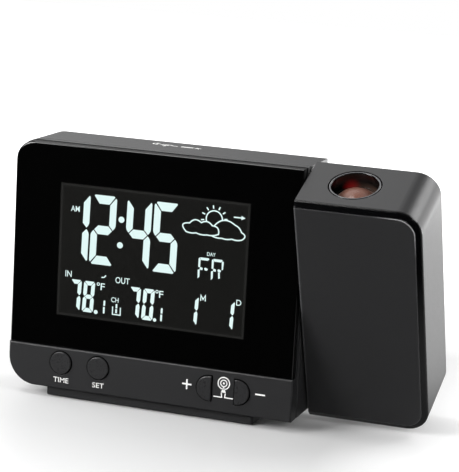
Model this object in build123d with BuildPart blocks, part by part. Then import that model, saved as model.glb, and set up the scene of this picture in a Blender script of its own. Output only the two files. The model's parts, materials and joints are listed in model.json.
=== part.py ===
"""Projection alarm clock: a free-standing case with a display and a tilting projector arm.

Every piece is a separate solid, at real size in millimetres. X runs to the right, Y into
the depth, Z up. The origin is the centre of the foot pad's underside, on the table.
"""

import os
from math import asin, degrees, radians, sin

from build123d import *

# ---------------------------------------------------------------- driving dimensions
# Case
case_width = 116.2
case_height = 96.3
case_depth = 30.0
top_corner_radius = 8.0
bottom_corner_radius = 11.0
wall = 2.0
back_edge_radius = 1.2
edge_break = 0.3
foot_height = 4.0

# Clearances
fit = 0.15  # between fixed mouldings
running_gap = 0.3  # round anything that moves
shaft_clearance = 0.08  # radial, in the pivot's running fit

# Front: gloss panel over a moulded frame, with the key strip below it
panel_thickness = 3.6
panel_inset = 0.3
panel_edge_radius = 0.9
strip_height = 16.4
strip_edge_break = 0.45
shelf_thickness = 0.6
frame_depth = 6.2
frame_wall = 3.1
seam_width = 0.8
tongue_length = 2.5

# Display module
display_width = 82.0
display_height = 58.0
display_drop = 1.05  # below the middle of the panel
lcd_thickness = 2.8
backlight_thickness = 3.0

# Keys on the strip
round_key_radius = 4.35
round_key_pitch = 15.6
round_key_side_gap = 4.45  # from the screw column to the first key's flange
round_key_headroom = 0.3
half_key_straight = 1.05
half_key_spread = 9.4  # between the two flat sides
half_key_side_gap = 3.3  # from the screw column to the last key's flange
half_key_headroom = 1.5
half_key_floor_gap = 0.2
key_proud = 0.8
key_gap = 0.4  # round each cap
key_edge_radius = 0.35
key_travel = 0.7
key_flange_overlap = 0.35
key_flange_thickness = 1.0
key_stem_radius = 2.0
key_free_play = 0.1

# Main board and its switches
board_thickness = 1.6
board_inset = 4.5
switch_size = 6.0
switch_height = 3.4
plunger_radius = 1.7
plunger_height = 0.9

# Case screws
screw_inset = 8.3
screw_side_inset = 8.9
boss_radius = 3.75
screw_radius = 1.2
screw_clearance = 0.2
thread_clearance = 0.03
screw_grip = 4.2
screw_head_radius = 2.4
screw_head_height = 1.8
screw_sink = 3.2  # depth of the head's seat below the surface
cross_slot_width = 0.6
cross_slot_depth = 0.9

# Battery compartment: two AAA cells
cell_diameter = 10.5
cell_length = 43.7
cell_nub_radius = 1.9
cell_nub_height = 0.8
cell_gap = 0.6
contact_thickness = 0.4
contact_bow = 2.2
contact_width = 7.0
battery_x = -14.0
battery_middle = 44.0
battery_wall = 1.4
lid_thickness = 1.8
lid_ledge = 2.2
lid_seat_thickness = 1.6
grip_radius = 6.0
grip_depth = 0.8

# Sounder, supply socket and touch pad
sounder_radius = 10.0
sounder_height = 4.0
sounder_x = 24.0
sounder_headroom = 6.75  # between its ring and the case's top wall
sound_hole_radius = 0.9
sound_hole_circle = 4.5
sound_hole_count = 6
socket_width = 9.0
socket_height = 11.0
socket_depth = 13.0
socket_nose_radius = 4.0
socket_bore_radius = 2.9
socket_pin_radius = 1.0
socket_side_gap = 3.0  # from the screw boss
socket_floor_gap = 1.5  # from the foot's screw boss
touch_pad_width = 42.0
touch_pad_depth = 9.0
touch_pad_thickness = 0.3
touch_pad_y = 3.0
touch_lead_width = 3.0

# On the back of the main board: control chip, radio receiver and time-signal antenna
chip_radius = 6.5
chip_rise = 1.5
chip_gap = 2.0  # below the battery box
receiver_width = 14.0
receiver_height = 11.0
receiver_depth = 2.2
antenna_length = 40.0
antenna_side_gap = 4.0  # from the screw column
antenna_drop = 3.0  # below the foot of the touch pad's lead
antenna_rise = 0.6  # between the coil and the board
rod_radius = 2.5
coil_radius = 3.4
coil_length = 16.0
clip_wall = 1.2
clip_width = 3.0
clip_inset = 3.0  # from the rod's end

# Foot
foot_width = 85.0
foot_inset = 2.0
foot_edge_radius = 1.0
pad_width = 60.0
pad_depth = 20.0
pad_thickness = 1.0
pad_proud = 0.5
foot_screw_grip = 4.5
foot_boss_height = 6.0

# Pivot between the case and the projector arm
pivot_y = 2.3
pivot_height = 55.4
projector_tilt = 22.3  # how far the arm leans forward where it stands
shaft_radius = 5.0
shaft_bore_radius = 3.2
bush_wall = 1.6
bush_length = 7.0
bush_flange_radius = 10.0
bush_flange_thickness = 0.6
pivot_boss_wall = 1.6
washer_thickness = 0.4
washer_rise = 0.3
ring_thickness = 0.8
ring_groove_depth = 0.7
ring_rim = 1.6  # beyond the shaft
ring_mouth = 60.0
shaft_end_length = 0.8
shaft_flange_radius = 8.5
shaft_flange_thickness = 1.6

# Projector arm
arm_gap = 0.9
arm_width = 47.0
arm_corner_radius = 9.0
arm_back_radius = 0.8
cover_thickness = 2.0
cover_bevel = 2.4  # seen from the front
cover_bevel_depth = 1.4
cover_lip = 1.2
cover_lip_length = 2.0
arm_screw_inset = 7.6
arm_boss_radius = 3.2
arm_split_y = 0.0

# Lens and optics, upright, along the lens axis
lens_offset = 18.5  # from the arm's left-hand side
lens_y = 1.0
lens_radius = 7.4
lens_curve_radius = 10.0
lens_rim = 1.6
lens_depth = 2.6  # from the arm's top to the crown of the lens
barrel_wall = 0.8
barrel_ledge = 1.4
barrel_lip = 0.6
barrel_length = 15.0
focus_travel = 1.2
bezel_gap = 0.5  # round the barrel
bezel_width = 0.9
bezel_edge_radius = 0.42
bezel_seam = 0.35  # between its ring and the arm's top
bezel_length = 8.0
tube_wall = 1.2
optics_side = 20.0
optics_pocket = 15.0
aperture_depth = 4.5
aperture_radius = 5.5
slide_clearance = 0.2
slide_thickness = 1.2
condenser_plate = 2.0
condenser_radius = 6.5
condenser_rise = 2.6
led_distance = 3.2  # from the light source's dome to the condenser
led_board_thickness = 1.6
led_size = 5.0
led_height = 1.4
led_dome_radius = 2.0
sink_height = 6.0
sink_base = 1.6
sink_fin_count = 5
sink_fin_thickness = 1.2

# Focus knob on the back of the arm
knob_radius = 8.0
knob_proud = 2.6
knob_standoff = 0.3
knob_stem_radius = 3.0
knob_flange_lip = 1.3
knob_flange_thickness = 0.6
knob_relief = 0.5
knob_turn = 60.0
knob_rib_count = 24
knob_rib_radius = 0.45
crank_height = 6.0  # above the barrel's lower end
crank_pin_radius = 0.9
crank_groove_depth = 1.5
crank_groove_slack = 0.3

# Image-flip key and drive board in the arm
flip_key_radius = 3.2
flip_stem_length = 0.6
drive_board_width = 30.0
drive_board_height = 24.0
drive_board_gap = 1.2  # above the screw boss below it
drive_board_thickness = 1.2
drive_post_radius = 2.2
drive_post_spread = 22.0

# ---------------------------------------------------------------- places worked out
front_y = -case_depth / 2
back_y = case_depth / 2
case_bottom = foot_height
case_top = foot_height + case_height
case_middle = foot_height + case_height / 2
right_x = case_width / 2
strip_top = case_bottom + strip_height
display_middle = (strip_top + case_top) / 2 - display_drop

panel_back_y = front_y + panel_thickness
plate_back_y = panel_back_y + wall
frame_back_y = front_y + frame_depth
tongue_end_y = frame_back_y + tongue_length
housing_front_y = frame_back_y + seam_width
backlight_y = panel_back_y + lcd_thickness
board_front_y = backlight_y + backlight_thickness
board_back_y = board_front_y + board_thickness
inner_back_y = back_y - wall

screw_xs = (screw_side_inset - right_x, right_x - screw_side_inset)
low_screws = [(x, case_bottom + screw_inset) for x in screw_xs]
high_screws = [(x, case_top - screw_inset) for x in screw_xs]
case_screws = low_screws + high_screws
pilot_radius = screw_radius + thread_clearance
pilot_end_y = board_front_y - screw_grip
column_side_x = right_x - screw_side_inset - boss_radius

key_flange_y = front_y + wall + 0.5 * running_gap
plunger_tip_y = board_front_y - switch_height - plunger_height
key_stem_end_y = plunger_tip_y - key_travel - key_free_play
key_flange_reach = key_gap + key_flange_overlap
pocket_floor = case_bottom + frame_wall
pocket_roof = strip_top - shelf_thickness
first_key_x = round_key_side_gap + round_key_radius + key_flange_reach - column_side_x
round_key_height = pocket_roof - round_key_headroom - round_key_radius - key_flange_reach
round_keys = {
    "time_button": (first_key_x, round_key_height),
    "set_button": (first_key_x + round_key_pitch, round_key_height),
}
half_key_room = pocket_roof - half_key_headroom - pocket_floor - half_key_floor_gap
half_key_radius = half_key_room / 2 - key_flange_reach
half_key_height = pocket_floor + half_key_floor_gap + half_key_room / 2
half_key_reach = half_key_spread / 2 + half_key_straight + half_key_room / 2
half_key_x = column_side_x - half_key_side_gap - half_key_reach
half_keys = {"plus_button": -1, "minus_button": 1}
half_key_middle = half_key_spread / 2 + (half_key_straight + half_key_radius) / 2
switch_places = list(round_keys.values()) + [
    (half_key_x + side * half_key_middle, half_key_height) for side in half_keys.values()
]

cell_pitch = cell_diameter + cell_gap
box_width = cell_length + cell_nub_height + 2 * contact_thickness + contact_bow + 2 * fit
box_height = cell_pitch + cell_diameter + 2 * running_gap
lid_seat_y = back_y - lid_thickness
box_floor_y = lid_seat_y - cell_diameter - 2 * running_gap
cell_y = box_floor_y + running_gap + cell_diameter / 2
battery_place = (battery_x, battery_middle)
battery_rows = ((-1, 1), (1, -1))  # row below or above the middle, and the nub's side
seat_width = box_width + 2 * lid_ledge
seat_height = box_height + 2 * lid_ledge

sounder_ring_radius = sounder_radius + fit + battery_wall
sounder_place = (sounder_x, case_top - wall - sounder_headroom - sounder_ring_radius)
socket_place = (
    column_side_x - socket_side_gap - socket_width / 2,
    case_bottom + wall + foot_boss_height + socket_floor_gap + socket_height / 2,
)

chip_place = (
    battery_x,
    battery_middle - box_height / 2 - battery_wall - chip_gap - chip_radius,
)
receiver_place = (sounder_x, battery_middle)
lead_foot = case_top - board_inset - 2 * touch_lead_width
antenna_start_x = screw_xs[0] + boss_radius + antenna_side_gap
antenna_height = lead_foot - antenna_drop - coil_radius
antenna_y = board_back_y + antenna_rise + coil_radius
antenna_place = (antenna_y, antenna_height)
clip_radius = rod_radius + fit + clip_wall
clip_starts = (
    antenna_start_x + clip_inset,
    antenna_start_x + antenna_length - clip_inset - clip_width,
)

foot_screw_x = (foot_width + pad_width) / 4  # midway between the pad's end and the foot's
foot_screw_places = [(-foot_screw_x, 0), (foot_screw_x, 0)]
foot_underside = pad_thickness - pad_proud
foot_seat_height = foot_underside + screw_head_height + screw_clearance

bush_radius = shaft_radius + shaft_clearance + bush_wall
bush_end_x = right_x - bush_length
washer_end_x = bush_end_x - washer_rise - washer_thickness
ring_end_x = washer_end_x - fit - ring_thickness
shaft_end_x = ring_end_x - shaft_end_length
pivot_boss_radius = bush_radius + fit + pivot_boss_wall
pivot_place = (pivot_y, pivot_height)

arm_left_x = right_x + arm_gap
arm_right_x = arm_left_x + arm_width
arm_middle_x = (arm_left_x + arm_right_x) / 2
cover_back_y = front_y + cover_thickness
arm_screws = [
    (arm_right_x - arm_screw_inset, case_top - arm_screw_inset),
    (arm_right_x - arm_screw_inset, case_bottom + arm_screw_inset),
    (arm_left_x + arm_screw_inset, case_bottom + arm_screw_inset),
]

arm_roof = case_top - wall
lens_x = arm_left_x + lens_offset
barrel_radius = lens_radius + barrel_wall
barrel_bore_radius = lens_radius - barrel_ledge
bezel_bore_radius = barrel_radius + bezel_gap
bezel_radius = bezel_bore_radius + bezel_width
bezel_end = case_top - bezel_length
lens_crown = case_top - lens_depth
lens_sag = lens_curve_radius - (lens_curve_radius**2 - lens_radius**2) ** 0.5
lens_edge = lens_crown - lens_sag
barrel_top = lens_edge + barrel_lip
barrel_end = barrel_top - barrel_length
tube_radius = bezel_radius + fit + tube_wall
lens_place = (lens_x, lens_y)
crank_offset = focus_travel / sin(radians(knob_turn))
crank_window = 2 * (crank_offset + crank_pin_radius + 2 * running_gap)
optics_shoulder = barrel_end - focus_travel - running_gap
slide_height = optics_shoulder - aperture_depth
slide_size = optics_pocket - 2 * slide_clearance
condenser_foot = slide_height - slide_thickness - condenser_plate - condenser_rise
dome_foot = condenser_foot - led_distance - led_dome_radius
optics_foot = dome_foot - led_height
knob_place = (lens_x, barrel_end + crank_height)
knob_flange_radius = knob_stem_radius + knob_flange_lip
knob_flange_y = inner_back_y - running_gap
lens_half_angle = degrees(asin(lens_radius / lens_curve_radius))
groove_y = lens_y + barrel_radius - crank_groove_depth

drive_board_foot = case_bottom + arm_screw_inset + arm_boss_radius + drive_board_gap
flip_place = (arm_middle_x, drive_board_foot + drive_board_height / 2)
flip_flange_y = inner_back_y - 0.5 * running_gap
flip_stem_y = flip_flange_y - key_flange_thickness - flip_stem_length
drive_board_back_y = flip_stem_y - key_travel - key_free_play - plunger_height - switch_height
drive_posts = [
    (arm_middle_x + side * drive_post_spread / 2, flip_place[1]) for side in (-1, 1)
]


# ---------------------------------------------------------------- planes and outlines
def upright(y: float) -> Plane:
    """Return the vertical plane at depth y, seen from the front: X right, Z up."""
    return Plane(origin=(0, y, 0), x_dir=(1, 0, 0), z_dir=(0, -1, 0))


def sideways(x: float) -> Plane:
    """Return the vertical plane at x, seen from the right: Y to the right, Z up."""
    return Plane(origin=(x, 0, 0), x_dir=(0, 1, 0), z_dir=(1, 0, 0))


def level(z: float) -> Plane:
    """Return the horizontal plane at height z, seen from above."""
    return Plane.XY.offset(z)


def draw_case(inset: float = 0.0):
    """Draw the case's outline: rounded on the left, square beside the arm."""
    with Locations((0, case_middle)):
        Rectangle(case_width - 2 * inset, case_height - 2 * inset)
    for end, radius in ((0, bottom_corner_radius), (-1, top_corner_radius)):
        left_corners = vertices().group_by(Axis.X)[0].sort_by(Axis.Y)
        fillet(left_corners[end], radius - inset)


def draw_arm(inset: float = 0.0, left_inset: float | None = None):
    """Draw the arm's outline: square beside the case, rounded on the right."""
    left_x = arm_left_x + (inset if left_inset is None else left_inset)
    with Locations((left_x, case_middle)):
        Rectangle(
            arm_right_x - inset - left_x,
            case_height - 2 * inset,
            align=(Align.MIN, Align.CENTER),
        )
    fillet(vertices().group_by(Axis.X)[-1], arm_corner_radius - inset)


def draw_polygon(*points: tuple):
    """Draw the closed polygon through the points."""
    with BuildLine() as outline:
        Polyline(*points, close=True)
    make_face(outline.edges())


def draw_half_key(side: int, grow: float):
    """Draw a half-round key, its arc towards side (-1 left, 1 right)."""
    reach = half_key_radius + grow
    flat_x = half_key_x + side * (half_key_spread / 2 - grow)
    bend_x = half_key_x + side * (half_key_spread / 2 + half_key_straight)
    low, high = half_key_height - reach, half_key_height + reach
    with BuildLine() as outline:
        Line((bend_x, high), (flat_x, high))
        Line((flat_x, high), (flat_x, low))
        Line((flat_x, low), (bend_x, low))
        ThreePointArc((bend_x, low), (bend_x + side * reach, half_key_height), (bend_x, high))
    make_face(outline.edges())


def draw_key(name: str, grow: float = 0.0):
    """Draw one key's outline on the strip, grown by grow all round."""
    if name in round_keys:
        with Locations(round_keys[name]):
            Circle(round_key_radius + grow)
    else:
        draw_half_key(half_keys[name], grow)


# ---------------------------------------------------------------- front of the case
with BuildPart() as front_frame:
    with BuildSketch(upright(front_y)):
        draw_case()
    extrude(amount=-frame_depth)
    # Tongue that enters the rear housing
    with BuildSketch(upright(frame_back_y)):
        draw_case(wall + fit)
    extrude(amount=-tongue_length)
    # Hollow behind the plate that carries the display
    with BuildSketch(upright(tongue_end_y)):
        draw_case(frame_wall)
    extrude(amount=tongue_end_y - plate_back_y, mode=Mode.SUBTRACT)
    # Pocket behind the key strip
    with BuildSketch(upright(plate_back_y)):
        draw_case(frame_wall)
        with Locations((0, pocket_roof)):
            Rectangle(case_width, strip_height, align=(Align.CENTER, Align.MAX), mode=Mode.INTERSECT)
    extrude(amount=plate_back_y - front_y - wall, mode=Mode.SUBTRACT)
    # Seat of the gloss panel, above the strip
    with BuildSketch(upright(front_y)):
        with Locations((0, strip_top)):
            Rectangle(case_width, case_height, align=(Align.CENTER, Align.MIN))
    extrude(amount=-panel_thickness, mode=Mode.SUBTRACT)
    # Opening for the display module
    with BuildSketch(upright(panel_back_y)):
        with Locations((0, display_middle)):
            Rectangle(display_width + 2 * fit, display_height + 2 * fit)
    extrude(amount=-wall, mode=Mode.SUBTRACT)
    for name in (*round_keys, *half_keys):
        with BuildSketch(upright(front_y)):
            draw_key(name, key_gap)
        extrude(amount=-wall, mode=Mode.SUBTRACT)
    # Screw columns that carry the main board
    for places, start_y in ((low_screws, front_y + wall), (high_screws, plate_back_y)):
        with BuildSketch(upright(board_front_y)):
            with Locations(*places):
                Circle(boss_radius)
        extrude(amount=board_front_y - start_y)
    with BuildSketch(upright(board_front_y)):
        with Locations(*case_screws):
            Circle(pilot_radius)
    extrude(amount=screw_grip, mode=Mode.SUBTRACT)
    strip_rim = front_frame.faces().sort_by(Axis.Y)[0].outer_wire().edges()
    chamfer(strip_rim, strip_edge_break)
front_frame.part.label = "front_frame"

with BuildPart() as display_panel:
    with BuildSketch(upright(front_y)):
        draw_case(panel_inset)
        with Locations((0, strip_top + fit)):
            Rectangle(
                case_width, case_height, align=(Align.CENTER, Align.MIN), mode=Mode.INTERSECT
            )
    extrude(amount=-panel_thickness)
    fillet(display_panel.faces().sort_by(Axis.Y)[0].edges(), panel_edge_radius)
display_panel.part.label = "display_panel"

with BuildPart() as lcd_module:
    with BuildSketch(upright(panel_back_y)):
        with Locations((0, display_middle)):
            Rectangle(display_width, display_height)
    extrude(amount=-lcd_thickness)
lcd_module.part.label = "lcd_module"

with BuildPart() as backlight:
    with BuildSketch(upright(backlight_y)):
        with Locations((0, display_middle)):
            Rectangle(display_width, display_height)
    extrude(amount=-backlight_thickness)
backlight.part.label = "backlight"


# ---------------------------------------------------------------- keys on the strip
def build_key(name: str) -> BuildPart:
    """Build one key: cap, flange behind the strip's wall, and stem to its switch."""
    if name in round_keys:
        stem_place = round_keys[name]
    else:
        stem_place = (half_key_x + half_keys[name] * half_key_middle, half_key_height)
    with BuildPart() as key:
        with BuildSketch(upright(front_y - key_proud)):
            draw_key(name)
        extrude(amount=-(key_flange_y - front_y + key_proud))
        fillet(key.faces().sort_by(Axis.Y)[0].edges(), key_edge_radius)
        with BuildSketch(upright(key_flange_y)):
            draw_key(name, key_flange_reach)
        extrude(amount=-key_flange_thickness)
        with BuildSketch(upright(key_flange_y)):
            with Locations(stem_place):
                Circle(key_stem_radius)
        extrude(amount=-(key_stem_end_y - key_flange_y))
    key.part.label = name
    return key


keys = [build_key(name) for name in (*round_keys, *half_keys)]

# ---------------------------------------------------------------- main board
with BuildPart() as main_board:
    with BuildSketch(upright(board_front_y)):
        draw_case(board_inset)
        with Locations(*case_screws):
            Circle(screw_radius + screw_clearance, mode=Mode.SUBTRACT)
        # Notch round the pivot's bush and shaft end
        with Locations((shaft_end_x - 2 * running_gap, pivot_height)):
            Rectangle(
                case_width,
                2 * (pivot_boss_radius + running_gap),
                align=(Align.MIN, Align.CENTER),
                mode=Mode.SUBTRACT,
            )
    extrude(amount=-board_thickness)
main_board.part.label = "main_board"

with BuildPart() as key_switches:
    with BuildSketch(upright(board_front_y)):
        with Locations(*switch_places):
            RectangleRounded(switch_size, switch_size, edge_break)
    extrude(amount=switch_height)
    with BuildSketch(upright(board_front_y - switch_height)):
        with Locations(*switch_places):
            Circle(plunger_radius)
    extrude(amount=plunger_height)
key_switches.part.label = "key_switches"

with BuildPart() as control_chip:
    with BuildSketch(upright(board_back_y)):
        with Locations(chip_place):
            Circle(chip_radius)
    extrude(amount=-chip_rise)
    # Poured resin: the rim runs out thin
    fillet(control_chip.faces().sort_by(Axis.Y)[-1].edges(), chip_rise - edge_break)
control_chip.part.label = "control_chip"

with BuildPart() as radio_receiver:
    with BuildSketch(upright(board_back_y)):
        with Locations(receiver_place):
            RectangleRounded(receiver_width, receiver_height, edge_break)
    extrude(amount=-receiver_depth)
    fillet(radio_receiver.faces().sort_by(Axis.Y)[-1].edges(), edge_break)
radio_receiver.part.label = "radio_receiver"

with BuildPart() as time_antenna:
    with BuildSketch(sideways(antenna_start_x)):
        with Locations(antenna_place):
            Circle(rod_radius)
    extrude(amount=antenna_length)
    rod_ends = time_antenna.faces().filter_by(Axis.X).edges()
    chamfer(rod_ends, edge_break)
    with BuildSketch(sideways(antenna_start_x + (antenna_length - coil_length) / 2)):
        with Locations(antenna_place):
            Circle(coil_radius)
    extrude(amount=coil_length)
time_antenna.part.label = "time_antenna"

with BuildPart() as antenna_clips:
    for start_x in clip_starts:
        with BuildSketch(sideways(start_x)):
            with Locations((board_back_y, antenna_height)):
                Rectangle(
                    antenna_y - board_back_y, 2 * clip_radius, align=(Align.MIN, Align.CENTER)
                )
            with Locations(antenna_place):
                Circle(clip_radius)
                Circle(rod_radius + fit, mode=Mode.SUBTRACT)
        extrude(amount=clip_width)
antenna_clips.part.label = "antenna_clips"

# ---------------------------------------------------------------- rear housing
with BuildPart() as rear_housing:
    with BuildSketch(upright(housing_front_y)):
        draw_case()
    extrude(amount=-(back_y - housing_front_y))
    fillet(rear_housing.faces().sort_by(Axis.Y)[-1].edges(), back_edge_radius)
    chamfer(rear_housing.faces().sort_by(Axis.Y)[0].edges(), edge_break)
    with BuildSketch(upright(housing_front_y)):
        draw_case(wall)
    extrude(amount=-(inner_back_y - housing_front_y), mode=Mode.SUBTRACT)
    # Screw bosses, which clamp the main board against the frame's columns
    with BuildSketch(upright(board_back_y)):
        with Locations(*case_screws):
            Circle(boss_radius)
    extrude(amount=-(inner_back_y - board_back_y))
    # Battery box and the thicker rim that the lid rests on
    with BuildSketch(upright(box_floor_y - battery_wall)):
        with Locations(battery_place):
            Rectangle(box_width + 2 * battery_wall, box_height + 2 * battery_wall)
    extrude(amount=-(inner_back_y - box_floor_y + battery_wall))
    with BuildSketch(upright(lid_seat_y - lid_seat_thickness)):
        with Locations(battery_place):
            Rectangle(seat_width + 2 * battery_wall, seat_height + 2 * battery_wall)
    extrude(amount=-(inner_back_y - lid_seat_y + lid_seat_thickness))
    with BuildSketch(upright(back_y)):
        with Locations(battery_place):
            Rectangle(box_width, box_height)
    extrude(amount=back_y - box_floor_y, mode=Mode.SUBTRACT)
    with BuildSketch(upright(back_y)):
        with Locations(battery_place):
            RectangleRounded(
                seat_width + 2 * running_gap, seat_height + 2 * running_gap, lid_ledge
            )
    extrude(amount=lid_thickness, mode=Mode.SUBTRACT)
    # Ring that holds the sounder
    with BuildSketch(upright(inner_back_y)):
        with Locations(sounder_place):
            Circle(sounder_ring_radius)
            Circle(sounder_radius + fit, mode=Mode.SUBTRACT)
    extrude(amount=sounder_height)
    # Boss round the pivot's bush
    with BuildSketch(sideways(bush_end_x)):
        with Locations(pivot_place):
            Circle(pivot_boss_radius)
    extrude(amount=bush_length - wall)
    with BuildSketch(sideways(bush_end_x)):
        with Locations(pivot_place):
            Circle(bush_radius + fit)
    extrude(amount=bush_length, mode=Mode.SUBTRACT)
    # Bosses that take the foot's screws
    with BuildSketch(level(case_bottom + wall)):
        with Locations(*foot_screw_places):
            Circle(boss_radius)
    extrude(amount=foot_boss_height)
    with BuildSketch(level(case_bottom)):
        with Locations(*foot_screw_places):
            Circle(pilot_radius)
    extrude(amount=foot_screw_grip, mode=Mode.SUBTRACT)
    # Openings in the back wall
    with BuildSketch(upright(back_y)):
        with Locations(socket_place):
            Circle(socket_nose_radius + fit)
        with Locations(sounder_place):
            Circle(sound_hole_radius)
            with PolarLocations(sound_hole_circle, sound_hole_count):
                Circle(sound_hole_radius)
    extrude(amount=wall, mode=Mode.SUBTRACT)
    with BuildSketch(upright(back_y)):
        with Locations(*case_screws):
            Circle(screw_head_radius + screw_clearance)
    extrude(amount=screw_sink, mode=Mode.SUBTRACT)
    with BuildSketch(upright(back_y)):
        with Locations(*case_screws):
            Circle(screw_radius + screw_clearance)
    extrude(amount=back_y - board_back_y, mode=Mode.SUBTRACT)
rear_housing.part.label = "rear_housing"


def build_screws(label: str, places: list, seat: Plane, length: float) -> BuildPart:
    """Build pan-head screws at places on seat, heads behind it and shanks in front."""
    with BuildPart() as screws:
        with BuildSketch(seat):
            with Locations(*places):
                Circle(screw_head_radius)
        extrude(amount=-screw_head_height)
        head_faces = screws.faces().group_by(Axis(seat.origin, seat.z_dir))[0]
        fillet(head_faces.edges(), edge_break)
        with BuildSketch(seat):
            with Locations(*places):
                Circle(screw_radius)
        extrude(amount=length)
        with BuildSketch(seat.offset(-screw_head_height)):
            with Locations(*places):
                Rectangle(cross_slot_width, 2 * screw_radius)
                Rectangle(2 * screw_radius, cross_slot_width)
        extrude(amount=cross_slot_depth, mode=Mode.SUBTRACT)
    screws.part.label = label
    return screws


screw_seat_y = back_y - screw_sink
case_screw_set = build_screws(
    "case_screws", case_screws, upright(screw_seat_y), screw_seat_y - pilot_end_y - screw_clearance
)

# ---------------------------------------------------------------- battery compartment
with BuildPart() as battery_lid:
    with BuildSketch(upright(back_y)):
        with Locations(battery_place):
            RectangleRounded(seat_width, seat_height, lid_ledge - running_gap)
    extrude(amount=lid_thickness)
    chamfer(battery_lid.faces().sort_by(Axis.Y)[-1].edges(), edge_break)
    # Finger grip: a shallow half-moon at the right-hand end
    grip_x = battery_x + seat_width / 2 - lid_ledge - grip_radius
    with BuildSketch(upright(back_y)):
        with Locations((grip_x, battery_middle)):
            Circle(grip_radius)
        with Locations((grip_x, battery_middle)):
            Rectangle(
                grip_radius, 2 * grip_radius, align=(Align.MIN, Align.CENTER), mode=Mode.INTERSECT
            )
    extrude(amount=grip_depth, mode=Mode.SUBTRACT)
    # Rim that centres the lid in the box
    with BuildSketch(upright(lid_seat_y)):
        with Locations(battery_place):
            Rectangle(box_width - 2 * running_gap, box_height - 2 * running_gap)
            Rectangle(
                box_width - 2 * (running_gap + edge_break + contact_thickness),
                box_height - 2 * (running_gap + edge_break + contact_thickness),
                mode=Mode.SUBTRACT,
            )
    extrude(amount=running_gap)
battery_lid.part.label = "battery_lid"

with BuildPart() as battery_cells:
    for row, turn in battery_rows:
        cell_z = battery_middle + row * cell_pitch / 2
        body_x = battery_x - turn * (cell_nub_height - contact_bow) / 2
        with BuildSketch(sideways(body_x - cell_length / 2)):
            with Locations((cell_y, cell_z)):
                Circle(cell_diameter / 2)
        extrude(amount=cell_length)
        with BuildSketch(sideways(body_x + turn * cell_length / 2)):
            with Locations((cell_y, cell_z)):
                Circle(cell_nub_radius)
        extrude(amount=turn * cell_nub_height)
battery_cells.part.label = "battery_cells"

with BuildPart() as battery_contacts:
    for side in (-1, 1):
        with BuildSketch(sideways(battery_x + side * box_width / 2)):
            with Locations((cell_y, battery_middle)):
                Rectangle(contact_width, cell_pitch + contact_width)
        extrude(amount=-side * contact_thickness)
    # Bowed leaf at each cell's flat end
    for row, turn in battery_rows:
        foot_x = battery_x - turn * (box_width / 2 - contact_thickness)
        front_edge, back_edge = cell_y - contact_width / 2, cell_y + contact_width / 2
        crest_x = foot_x + turn * contact_bow
        with BuildSketch(level(battery_middle + (row * cell_pitch - contact_width) / 2)):
            with BuildLine():
                ThreePointArc((foot_x, front_edge), (crest_x, cell_y), (foot_x, back_edge))
                Line((foot_x, back_edge), (foot_x, back_edge - contact_thickness))
                ThreePointArc(
                    (foot_x, back_edge - contact_thickness),
                    (crest_x - turn * contact_thickness, cell_y),
                    (foot_x, front_edge + contact_thickness),
                )
                Line((foot_x, front_edge + contact_thickness), (foot_x, front_edge))
            make_face()
        extrude(amount=contact_width)
battery_contacts.part.label = "battery_contacts"

# ---------------------------------------------------------------- sounder, socket, touch pad
with BuildPart() as sounder:
    with BuildSketch(upright(inner_back_y)):
        with Locations(sounder_place):
            Circle(sounder_radius)
    extrude(amount=sounder_height)
    chamfer(sounder.faces().sort_by(Axis.Y)[0].edges(), edge_break)
    # Sound chamber facing the holes in the back wall
    with BuildSketch(upright(inner_back_y)):
        with Locations(sounder_place):
            Circle(sound_hole_circle + 2 * sound_hole_radius)
    extrude(amount=sounder_height / 2, mode=Mode.SUBTRACT)
sounder.part.label = "sounder"

with BuildPart() as supply_socket:
    with BuildSketch(upright(inner_back_y)):
        with Locations(socket_place):
            RectangleRounded(socket_width, socket_height, edge_break)
    extrude(amount=socket_depth)
    with BuildSketch(upright(inner_back_y)):
        with Locations(socket_place):
            Circle(socket_nose_radius)
    extrude(amount=-(wall - edge_break))
    with BuildSketch(upright(back_y - edge_break)):
        with Locations(socket_place):
            Circle(socket_bore_radius)
            Circle(socket_pin_radius, mode=Mode.SUBTRACT)
    extrude(amount=socket_depth - wall, mode=Mode.SUBTRACT)
supply_socket.part.label = "supply_socket"

with BuildPart() as touch_pad:
    with BuildSketch(level(arm_roof)):
        with Locations((0, touch_pad_y)):
            Rectangle(touch_pad_width, touch_pad_depth)
    extrude(amount=-touch_pad_thickness)
    # Lead that turns down onto the back of the main board
    pad_front_y = touch_pad_y - touch_pad_depth / 2
    with BuildSketch(sideways(-touch_lead_width / 2)):
        draw_polygon(
            (pad_front_y, arm_roof),
            (board_back_y, arm_roof),
            (board_back_y, lead_foot),
            (board_back_y + touch_pad_thickness, lead_foot),
            (board_back_y + touch_pad_thickness, arm_roof - touch_pad_thickness),
            (pad_front_y, arm_roof - touch_pad_thickness),
        )
    extrude(amount=touch_lead_width)
touch_pad.part.label = "touch_pad"

# ---------------------------------------------------------------- foot
with BuildPart() as foot:
    with BuildSketch(level(foot_underside)):
        RectangleRounded(foot_width, case_depth - 2 * foot_inset, foot_edge_radius)
    extrude(amount=foot_height - foot_underside)
    with BuildSketch(level(foot_underside)):
        RectangleRounded(pad_width + 2 * fit, pad_depth + 2 * fit, foot_edge_radius)
    extrude(amount=pad_thickness - foot_underside, mode=Mode.SUBTRACT)
    with BuildSketch(level(foot_underside)):
        with Locations(*foot_screw_places):
            Circle(screw_head_radius + screw_clearance)
    extrude(amount=foot_seat_height - foot_underside, mode=Mode.SUBTRACT)
    with BuildSketch(level(foot_underside)):
        with Locations(*foot_screw_places):
            Circle(screw_radius + screw_clearance)
    extrude(amount=foot_height - foot_underside, mode=Mode.SUBTRACT)
foot.part.label = "foot"

with BuildPart() as foot_pad:
    with BuildSketch(level(0)):
        RectangleRounded(pad_width, pad_depth, foot_edge_radius)
    extrude(amount=pad_thickness)
foot_pad.part.label = "foot_pad"

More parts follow.
